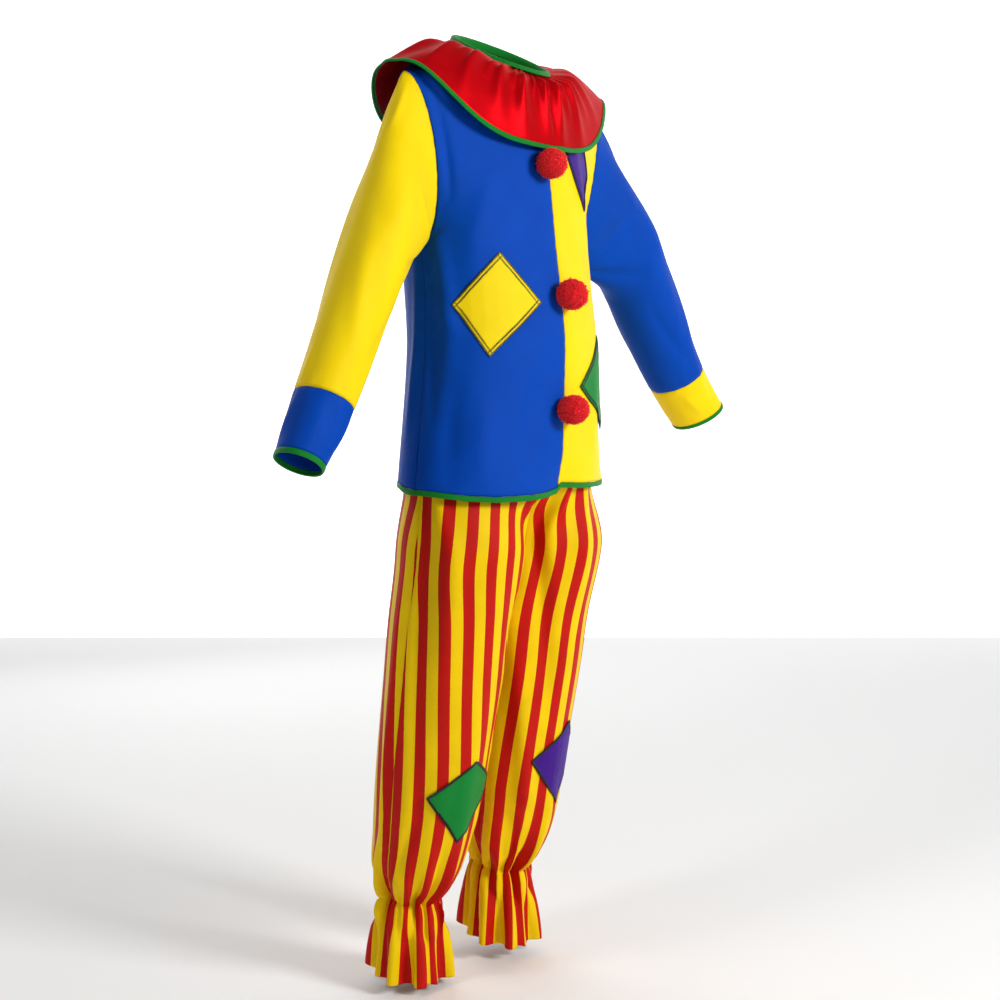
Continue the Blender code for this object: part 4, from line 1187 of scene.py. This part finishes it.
# %% The four legs
LEG_FINE_COLUMNS = 104
LEG_COARSE_ROWS, LEG_FINE_ROWS = 66, 94
GATHERED_FROM = -1.200    # height below which the flat places are kept
Grain = namedtuple("Grain", "z x")
GRAIN_LINES = {           # the line down each front panel that the stripes follow
    RIGHT: (Grain(-0.500, 0.095), Grain(-0.690, 0.095), Grain(-0.790, 0.117), Grain(-0.894, 0.098),
            Grain(-0.990, 0.086), Grain(-1.125, 0.064), Grain(-1.240, 0.052)),
    LEFT: (Grain(-0.500, 0.104), Grain(-0.690, 0.103), Grain(-0.790, 0.098), Grain(-0.894, 0.098),
           Grain(-0.990, 0.100), Grain(-1.125, 0.100), Grain(-1.240, 0.100)),
}
BACK_GRAIN = 0.100
TILT = {RIGHT: 0.14, LEFT: 0.22}        # rise of the elastic and the ruffle towards the back of the leg
TILT_FROM, TILT_OVER = -1.200, 0.120
RUFFLE_TUCK = 0.003       # the ruffle hangs closer than its waves would let it
PINCH, PINCH_REACH = 0.0030, 0.0050     # the narrow channel that the elastic runs in


def leg_heights():
    upper = [mix(WAIST, GATHERED_FROM, step / LEG_COARSE_ROWS) for step in range(LEG_COARSE_ROWS)]
    lower = [mix(GATHERED_FROM, LEG[-1].z, step / LEG_FINE_ROWS) for step in range(LEG_FINE_ROWS + 1)]
    return list(reversed(upper + lower))


def leg_panel(stance, face):
    node = f"leg_{FACES[face]}_{SIDES[stance.side]}"
    z = leg_heights()
    points = drawn_in(lattice([leg_row(stance, face, height, LEG_FINE_COLUMNS) for height in z]), top=0.0)
    across, up = flat_places(points)
    for row, height in enumerate(z):
        grain = between(GRAIN_LINES[stance.side], height).x if face == FRONT else BACK_GRAIN
        across[row] -= np.interp(grain, np.abs(points[row, :, 0]), across[row])
    uncrowded = next(row for row, height in enumerate(z) if height > GATHERED_FROM)
    across[:uncrowded] = across[uncrowded]
    gathers, waves = LEG_GATHERS, HEM_WAVES
    if stance.side * face > 0:
        gathers = [gather._replace(across=1.0 - gather.across, lean=-gather.lean) for gather in gathers]
        waves = [wave._replace(across=1.0 - wave.across, lean=-wave.lean) for wave in waves]
    heights = sewn_heights(points, LEG_CREASES[node], ("first", "last"))
    heights += gather_heights(z, LEG_FINE_COLUMNS + 1, gathers, ELASTIC)
    heights += gather_heights(z, LEG_FINE_COLUMNS + 1, waves, LEG[-1].z)
    for row, height in enumerate(z):
        ring = between(LEG, height)
        lowered = soft_step((TILT_FROM - height) / TILT_OVER)
        points[row, :, 2] += (points[row, :, 1] - ring.middle_y + ring.half_y) * TILT[stance.side] * lowered
        heights[row] -= RUFFLE_TUCK * soft_step((ELASTIC - height) / (ELASTIC - LEG[-1].z))
        heights[row] -= PINCH * math.exp(-((height - ELASTIC) / PINCH_REACH) ** 2)
    return cloth(node, points, "stripes", flip=stance.side * face > 0,
                 places=(across, up), heights=heights)


for stance in STANCES:
    for face in FACES:
        panel = leg_panel(stance, face)
        print(panel.name, "has", len(panel.data.polygons), "faces")

# %% The hidden waistband
WAISTBAND = 0.003
WAISTBAND_RIPPLE = 0.012          # share of the radius
WAISTBAND_COLUMNS, WAISTBAND_ROWS = 192, 10


def waistband_ring(z):
    hips = between(HIPS, WAIST)
    ring = []
    for column in range(WAISTBAND_COLUMNS):
        turn = 2 * math.pi * column / WAISTBAND_COLUMNS
        wave = 1.0 + WAISTBAND_RIPPLE * math.cos(WAISTBAND_WAVES * turn)
        ring.append(Vector((hips.side_x * math.sin(turn) * wave, hips.front_y * math.cos(turn) * wave, z)))
    return ring


points = lattice([waistband_ring(mix(WAIST + SEAM, WAISTBAND_TOP, row / WAISTBAND_ROWS))
                  for row in range(WAISTBAND_ROWS + 1)], closed=True)
cloth("waistband", points, "stripes", closed=True, thickness=WAISTBAND)
print("the waistband goes", round(1000 * np.ptp(flat_places(points)[0])), "mm round")

# %% [markdown]
# The five patches are diamonds of plain cloth laid on the panels. Each is placed by the lattice of the
# frame's own panel, so it lies where its solid does, and it is fine enough to follow the creases of the
# cloth under it.

# %% The patches
PATCH = 0.0010
PATCH_GAP = 0.0004        # between a patch and the finished cloth under it
PATCH_FINE_CELLS = 30
PATCH_PROBE = 0.03        # how far off the panel the cloth under a patch is looked for, both ways


def frame_panel(patch):
    """The rows of the frame's panel under a patch, and whether its faces are turned over."""
    for side, face in ((side, face) for side in SIDES for face in FACES):
        if patch.panel == f"{FACES[face]}_{SIDES[side]}":
            return blouse_rows(side, face), side * face > 0
        if patch.panel == f"leg_{FACES[face]}_{SIDES[side]}":
            stance = STANCES[0] if side == RIGHT else STANCES[1]
            return [leg_row(stance, face, z) for z in reversed(LEG_HEIGHTS)], side * face > 0


def on_panel(rows, place):
    """A point of a panel's own faces, and the way out of it, at (columns across, rows up)."""
    column = min(int(place[0]), len(rows[0]) - 2)
    row = min(int(place[1]), len(rows) - 2)
    across, up = place[0] - column, place[1] - row
    low = rows[row][column].lerp(rows[row][column + 1], across)
    high = rows[row + 1][column].lerp(rows[row + 1][column + 1], across)
    left = rows[row][column].lerp(rows[row + 1][column], up)
    right = rows[row][column + 1].lerp(rows[row + 1][column + 1], up)
    return low.lerp(high, up), (right - left).cross(high - low).normalized()


def patch_place(patch, a, b):
    """Where a point of the diamond lies on its panel: a runs along one pair of edges, b along the other."""
    return [mix(mix(patch.bottom[i], patch.side_in[i], a), mix(patch.side_out[i], patch.top[i], a), b)
            for i in (0, 1)]


def resting_height(under, point, way_out):
    """How far the finished cloth under a patch stands out from a point of the frame's panel."""
    hit, place, _, _ = under.ray_cast(point + way_out * PATCH_PROBE, -way_out, distance=2 * PATCH_PROBE)
    return (place - point).dot(way_out) if hit else 0.0


def patch_lattice(patch, lift=0.0):
    rows, flip = frame_panel(patch)
    under = cloth_pieces[patch.panel]
    grid = []
    for step in range(PATCH_FINE_CELLS + 1):
        line = []
        for cell in range(PATCH_FINE_CELLS + 1):
            place = patch_place(patch, step / PATCH_FINE_CELLS, cell / PATCH_FINE_CELLS)
            point, way_out = on_panel(rows, place)
            way_out *= -1.0 if flip else 1.0
            rest = max(patch.rest, resting_height(under, point, way_out) + PATCH_GAP)
            line.append(point + way_out * (rest + lift))
        grid.append(line)
    return lattice(grid), flip


bpy.context.view_layer.update()
for patch in PATCHES:
    points, flip = patch_lattice(patch)
    cloth(patch.name, points, patch.colour, flip=flip, thickness=PATCH, offset=1.0)

# %% [markdown]
# Black thread holds the patches down. On the blouse it runs as two thin zigzags along each edge, and on the
# knees as a wide satin stitch, which is many parallel strokes laid side by side over the raw edge. Every
# stroke is one short bent tube, and the strokes of a patch are joined into one mesh, which is far lighter
# than one object each.

# %% Thread
ZIGZAG_STEP, ZIGZAG_WIDTH, ZIGZAG_THREAD = 0.0012, 0.0023, 0.00105
SATIN_STEP, SATIN_THREAD = 0.0007, 0.00046
THREAD_SIDES, THREAD_TAPER = 5, 0.45
TWIST, TWIST_SLANT = 0.0006, 0.6        # spacing and slant of the thread's own twist
THREAD_DARK, THREAD_LIGHT = (6, 6, 8), (20, 18, 18)
thread_shader, flat, across, up = new_finish("black_thread", Roughness=0.45)
twist = ((across + up * TWIST_SLANT) * (2 * math.pi / TWIST)).sine()
relief = flat.node("ShaderNodeBump", {"Height": twist, "Strength": 0.3, "Distance": 0.0001})
shade = noise(flat, 0.003, 0.003)
thread_colour = shade.between_colours(linear(*THREAD_DARK), linear(*THREAD_LIGHT))
connect(thread_shader, Base_Color=thread_colour, Normal=relief)


def strokes_mesh(name, strokes, finish, radius, sides=THREAD_SIDES, taper=THREAD_TAPER):
    """One mesh of many tubes; a stroke is an array of points, and each tube thins towards its ends."""
    vertices, faces, places = [], [], []
    turns = np.linspace(0, 2 * math.pi, sides, endpoint=False)
    for stroke in strokes:
        stroke = np.asarray(stroke)
        along = np.gradient(stroke, axis=0)
        along /= np.linalg.norm(along, axis=1, keepdims=True) + 1e-12
        spare = np.where(np.abs(along[:, 2:]) < 0.8, [[0.0, 0.0, 1.0]], [[1.0, 0.0, 0.0]])
        aside = np.cross(along, spare)
        aside /= np.linalg.norm(aside, axis=1, keepdims=True)
        above = np.cross(along, aside)
        shares = np.linspace(0, 1, len(stroke))
        radii = radius * (taper + (1 - taper) * np.sin(math.pi * shares) ** 0.5)
        first = len(vertices)
        rings = (stroke[:, None] + radii[:, None, None] * (np.cos(turns)[None, :, None] * aside[:, None]
                                                           + np.sin(turns)[None, :, None] * above[:, None]))
        vertices += rings.reshape(-1, 3).tolist()
        lengths = np.concatenate([[0.0], np.cumsum(np.linalg.norm(np.diff(stroke, axis=0), axis=1))])
        for ring in range(len(stroke) - 1):
            for side in range(sides):
                beside = (side + 1) % sides
                faces.append([first + ring * sides + side, first + ring * sides + beside,
                              first + (ring + 1) * sides + beside, first + (ring + 1) * sides + side])
                places += [(side * radius, lengths[ring]), ((side + 1) * radius, lengths[ring]),
                           ((side + 1) * radius, lengths[ring + 1]), (side * radius, lengths[ring + 1])]
        for ring in (0, len(stroke) - 1):
            cap = [first + ring * sides + side for side in range(sides)]
            faces.append(cap if ring else cap[::-1])
            places += [(0.0, lengths[ring])] * sides
    mesh = bpy.data.meshes.new(name)
    mesh.from_pydata(vertices, [], faces)
    mesh.uv_layers.new(name="flat").uv.foreach_set("vector", np.array(places, dtype=float).ravel())
    mesh.shade_smooth()
    mesh.materials.append(finishes[finish])
    piece = add_object(name, mesh)
    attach(piece, "root")
    return piece


# %% The stitched edges of the patches
ZIGZAG_INSETS = (0.0008, 0.0062)        # middles of the two zigzags, in from the edge
SATIN_PLACES = (-0.0012, 0.0012, 0.00288, 0.0036)      # points of a satin stroke, in from the edge
WAY_IN_CELLS = 3


def edge_walk(points):
    """The four edges of a patch as points in order, with the way in to the patch at each."""
    last = len(points) - 1
    near, far = WAY_IN_CELLS, last - WAY_IN_CELLS
    edges = (points[0, :], points[:, last], points[last, ::-1], points[::-1, 0])
    inner = (points[near, :], points[:, far], points[far, ::-1], points[::-1, near])
    for edge, inside in zip(edges, inner):
        way_in = inside - edge
        yield edge, way_in / np.linalg.norm(way_in, axis=1, keepdims=True)


def along_edge(edge, step):
    lengths = np.concatenate([[0.0], np.cumsum(np.linalg.norm(np.diff(edge, axis=0), axis=1))])
    at = np.arange(step / 2, lengths[-1], step)
    return lambda values: np.stack([np.interp(at, lengths, values[:, axis]) for axis in range(3)], axis=1)


def zigzag_strokes(points, inset):
    strokes = []
    for edge, way_in in edge_walk(points):
        spread = along_edge(edge, ZIGZAG_STEP)
        middle, inwards = spread(edge), spread(way_in)
        swing = np.where(np.arange(len(middle)) % 2, 0.5, -0.5)[:, None] * ZIGZAG_WIDTH
        strokes.append(middle + inwards * (inset + swing))
    return strokes


def satin_strokes(points):
    strokes = []
    for edge, way_in in edge_walk(points):
        spread = along_edge(edge, SATIN_STEP)
        for place, inwards in zip(spread(edge), spread(way_in)):
            strokes.append([place + inwards * inset for inset in SATIN_PLACES])
    return strokes


for patch in PATCHES:
    points, _ = patch_lattice(patch, lift=PATCH)
    if "knee" in patch.name:
        strokes, radius = satin_strokes(points), SATIN_THREAD
    else:
        strokes = [stroke for inset in ZIGZAG_INSETS for stroke in zigzag_strokes(points, inset)]
        radius = ZIGZAG_THREAD
    stitching = strokes_mesh(f"{patch.name}_stitching", strokes, "black_thread", radius)
    print(stitching.name, "has", len(strokes), "strokes and", len(stitching.data.polygons), "faces")

# %% [markdown]
# A pompom is a great many wool ends tied at the middle and clipped round. Each tuft is a short bent tube
# from a point just inside the ball to one just outside it. Tufts are spread evenly over the ball by the
# golden angle and then moved, bent and shortened a little each by its own seeded random numbers, so the
# ball is never quite regular.

# %% The wool finish
# The wool is one red; its darker colour at the roots, deep in the ball, is painted shade.
WOOL_ROOT_SHADE, WOOL_LIGHT = (186, 8, 16), (250, 26, 38)
WOOL_LENGTH = 0.007       # of a tuft, over which the painted shade at its root gives way to the light tip
TIP_SHARE, FLECK_SHARE = 0.8, 0.3       # of the tone: painted shade from root to tip, and random flecks
wool_shader, flat, across, up = new_finish("wool_red", Roughness=0.85, Sheen_Weight=0.1, Sheen_Roughness=0.5)
root_shade_to_tip = up / WOOL_LENGTH
shade = root_shade_to_tip * TIP_SHARE + noise(flat, 0.002, 0.003) * FLECK_SHARE
connect(wool_shader, Base_Color=shade.between_colours(linear(*WOOL_ROOT_SHADE), linear(*WOOL_LIGHT)))
print("the wool goes from", WOOL_ROOT_SHADE, "inside to", WOOL_LIGHT, "at the tips")

# %% The pompoms
POMPOM_SQUASH = 0.57      # the ball's half depth as a share of the depth left when it is pressed on the cloth
POMPOM_SEAT = 4 / 7       # share of its half height that is flattened there
SEAT_HEIGHTS = 9          # places looked at behind it
TUFTS = 2200
TUFT_RADIUS = 0.00076
TUFT_FROM = 0.72          # share of the ball's radius where a tuft starts
TUFT_TO, TUFT_TO_UNEVEN = 0.96, 0.035   # and where it ends
TUFT_UNEVEN = 0.09        # of its direction
TUFT_BEND, TUFT_BEND_UNEVEN = 3, 0.09
TUFT_SHORTEST = 0.002     # shorter ones are left out, where the ball is pressed flat
WOOL_SIDES, WOOL_TAPER = 4, 0.7
CORE_SHARE = 0.86
GOLDEN_ANGLE = math.pi * (3 - math.sqrt(5))
random = np.random.default_rng(7)


def pressed_surface(entry):
    """The foremost place of the centre front behind a pompom, where its back is flattened."""
    reach = entry.half_z * POMPOM_SEAT
    z = np.linspace(entry.z - reach, entry.z + reach, SEAT_HEIGHTS)
    return min(between(CENTRE_FRONT, h).y if h > ARMPIT else between(BLOUSE, h).front_y for h in z)


def tufts(entry):
    back = pressed_surface(entry) - SEAM
    half_depth = entry.depth * POMPOM_SQUASH
    middle = np.array([entry.x, back - entry.depth + half_depth, entry.z])
    radii = np.array([entry.half_x, half_depth, entry.half_z])
    strokes = []
    for index in range(TUFTS):
        rise = 1 - 2 * (index + 0.5) / TUFTS
        turn = GOLDEN_ANGLE * index
        flat_radius = math.sqrt(1 - rise * rise)
        way = np.array([flat_radius * math.cos(turn), flat_radius * math.sin(turn), rise])
        way += random.normal(0, TUFT_UNEVEN, 3)
        way /= np.linalg.norm(way)
        end = TUFT_TO + random.normal(0, TUFT_TO_UNEVEN)
        bend = random.normal(0, TUFT_BEND_UNEVEN, 3)
        shares = (TUFT_FROM, mix(TUFT_FROM, end, 0.5), mix(TUFT_FROM, end, 0.85), end)
        stroke = np.array([middle + radii * (way * share + bend * (share - TUFT_FROM) ** 2 * TUFT_BEND)
                           for share in shares])
        stroke[:, 1] = np.minimum(stroke[:, 1], back)
        if np.linalg.norm(stroke[-1] - stroke[0]) > TUFT_SHORTEST:
            strokes.append(stroke)
    return strokes, middle, radii, back


def core(entry, middle, radii, back):
    """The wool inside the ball, which closes the gaps between the tufts."""
    ball = bmesh.new()
    bmesh.ops.create_icosphere(ball, subdivisions=4, radius=CORE_SHARE)
    for vert in ball.verts:
        place = middle + radii * np.array(vert.co)
        vert.co = (place[0], min(place[1], back), place[2])
    mesh = bpy.data.meshes.new(f"{entry.name}_core")
    ball.to_mesh(mesh)
    ball.free()
    mesh.uv_layers.new(name="flat")
    mesh.shade_smooth()
    # Its flat places are all zero, so it is coloured with the painted shade of the tufts' roots.
    mesh.materials.append(finishes["wool_red"])
    piece = add_object(mesh.name, mesh)
    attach(piece, "root")
    return piece


for entry in POMPOMS:
    strokes, *form = tufts(entry)
    core(entry, *form)
    ball = strokes_mesh(f"{entry.name}_wool", strokes, "wool_red", TUFT_RADIUS, WOOL_SIDES, WOOL_TAPER)
    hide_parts(entry.name)
    print(ball.name, "has", len(strokes), "tufts and", len(ball.data.polygons), "faces")

# %% [markdown]
# The picture has plain studio light. One lamp stands in front of the costume, which is to the right of the
# camera, so the folds at its side fall into shade. A second hangs high beside it, where the arm keeps its
# light off the blouse, and a weak one lights the back. A lit white backdrop and a dim world fill the
# shadows. The floor is pale, and the feet of the trousers hang just above it.

# %% Floor, light and camera
AXIS = Vector((0.0, 0.0, -0.55))          # what the camera looks at
VIEW_AZIMUTH, VIEW_DISTANCE = -50.0, 2.5
LENS, SENSOR, VIEW_SHIFT = 56.16, 36.0, -0.10
FLOOR_GAP = 0.012
FLOOR = LEG[-1].z - FLOOR_GAP
FLOOR_HALF = 60.0
FLOOR_WHITE = (0.86, 0.86, 0.86, 1.0)
WHITE = (1.0, 1.0, 1.0, 1.0)
Lamp = namedtuple("Lamp", "name azimuth height distance size power")
LAMPS = (
    Lamp("key_light", 8.0, 1.0, 3.0, 0.9, 84.0),
    Lamp("side_light", -96.0, 2.3, 2.6, 0.6, 22.0),
    Lamp("back_light", 150.0, 0.8, 3.0, 2.0, 14.0),
)
BACKDROP_DISTANCE, BACKDROP_HALF, BACKDROP_GLOW = 3.6, 6.0, 1.0
WORLD_LIGHT = 0.26


def around(azimuth, distance, height=0.0):
    turn = math.radians(azimuth)
    return AXIS + Vector((math.sin(turn) * distance, -math.cos(turn) * distance, height))


def look_at(obj, target):
    obj.rotation_euler = (target - obj.location).to_track_quat("-Z", "Y").to_euler()


def staged_plane(name, corners, material):
    """A plane that belongs to the picture and not to the costume."""
    mesh = bpy.data.meshes.new(name)
    mesh.from_pydata(corners, [], [(0, 1, 2, 3)])
    mesh.materials.append(material)
    plane = add_object(name, mesh)
    plane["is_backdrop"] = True
    return plane


wide = FLOOR_HALF
floor_white, _ = new_material("floor_white", Base_Color=FLOOR_WHITE, Roughness=0.8)
floor = staged_plane("floor", [(-wide, -wide, 0.0), (wide, -wide, 0.0), (wide, wide, 0.0), (-wide, wide, 0.0)],
                     floor_white)
floor.location.z = FLOOR

wide = BACKDROP_HALF
backdrop_white, _ = new_material("backdrop_white", Emission_Color=WHITE, Emission_Strength=BACKDROP_GLOW)
backdrop = staged_plane("backdrop", [(-wide, 0.0, 0.0), (wide, 0.0, 0.0), (wide, 0.0, wide), (-wide, 0.0, wide)],
                        backdrop_white)
backdrop.location = around(VIEW_AZIMUTH + 180.0, BACKDROP_DISTANCE)
backdrop.location.z = FLOOR
backdrop.rotation_euler.z = math.radians(VIEW_AZIMUTH)

for lamp in LAMPS:
    light = bpy.data.lights.new(lamp.name, "AREA")
    light.size, light.energy = lamp.size, lamp.power
    light_object = add_object(lamp.name, light)
    light_object.location = around(lamp.azimuth, lamp.distance, lamp.height)
    look_at(light_object, AXIS)

world = bpy.data.worlds.new("pale_room")
world.use_nodes = True
background = world.node_tree.nodes["Background"]
background.inputs["Color"].default_value = WHITE
background.inputs["Strength"].default_value = WORLD_LIGHT
bpy.context.scene.world = world
bpy.context.scene.view_settings.view_transform = "Standard"

camera_data = bpy.data.cameras.new("camera")
camera_data.lens, camera_data.sensor_width, camera_data.shift_y = LENS, SENSOR, VIEW_SHIFT
camera = add_object("camera", camera_data)
camera.location = around(VIEW_AZIMUTH, VIEW_DISTANCE)
look_at(camera, AXIS)
bpy.context.scene.camera = camera
print("the camera stands", VIEW_DISTANCE, "m away, at", VIEW_AZIMUTH, "degrees")

# %% [markdown]
# The boxes of the frame and of the finished garment are written side by side: cloth may stand out a little,
# but the garment keeps its size.

# %% Sizes and the end
bpy.context.view_layer.update()
graph = bpy.context.evaluated_depsgraph_get()
counts = {}
for obj in bpy.context.scene.objects:
    if obj.type == "MESH":
        polygons = obj.evaluated_get(graph).data.polygons
        counts[obj.name] = sum(len(polygon.vertices) - 2 for polygon in polygons)
print("triangles in all", sum(counts.values()), "and at most", max(counts.values()), "in one piece")
scene_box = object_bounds()
for name, box in (("frame", frame_box), ("scene", scene_box)):
    print(name, [[round(v, 4) for v in corner] for corner in box])
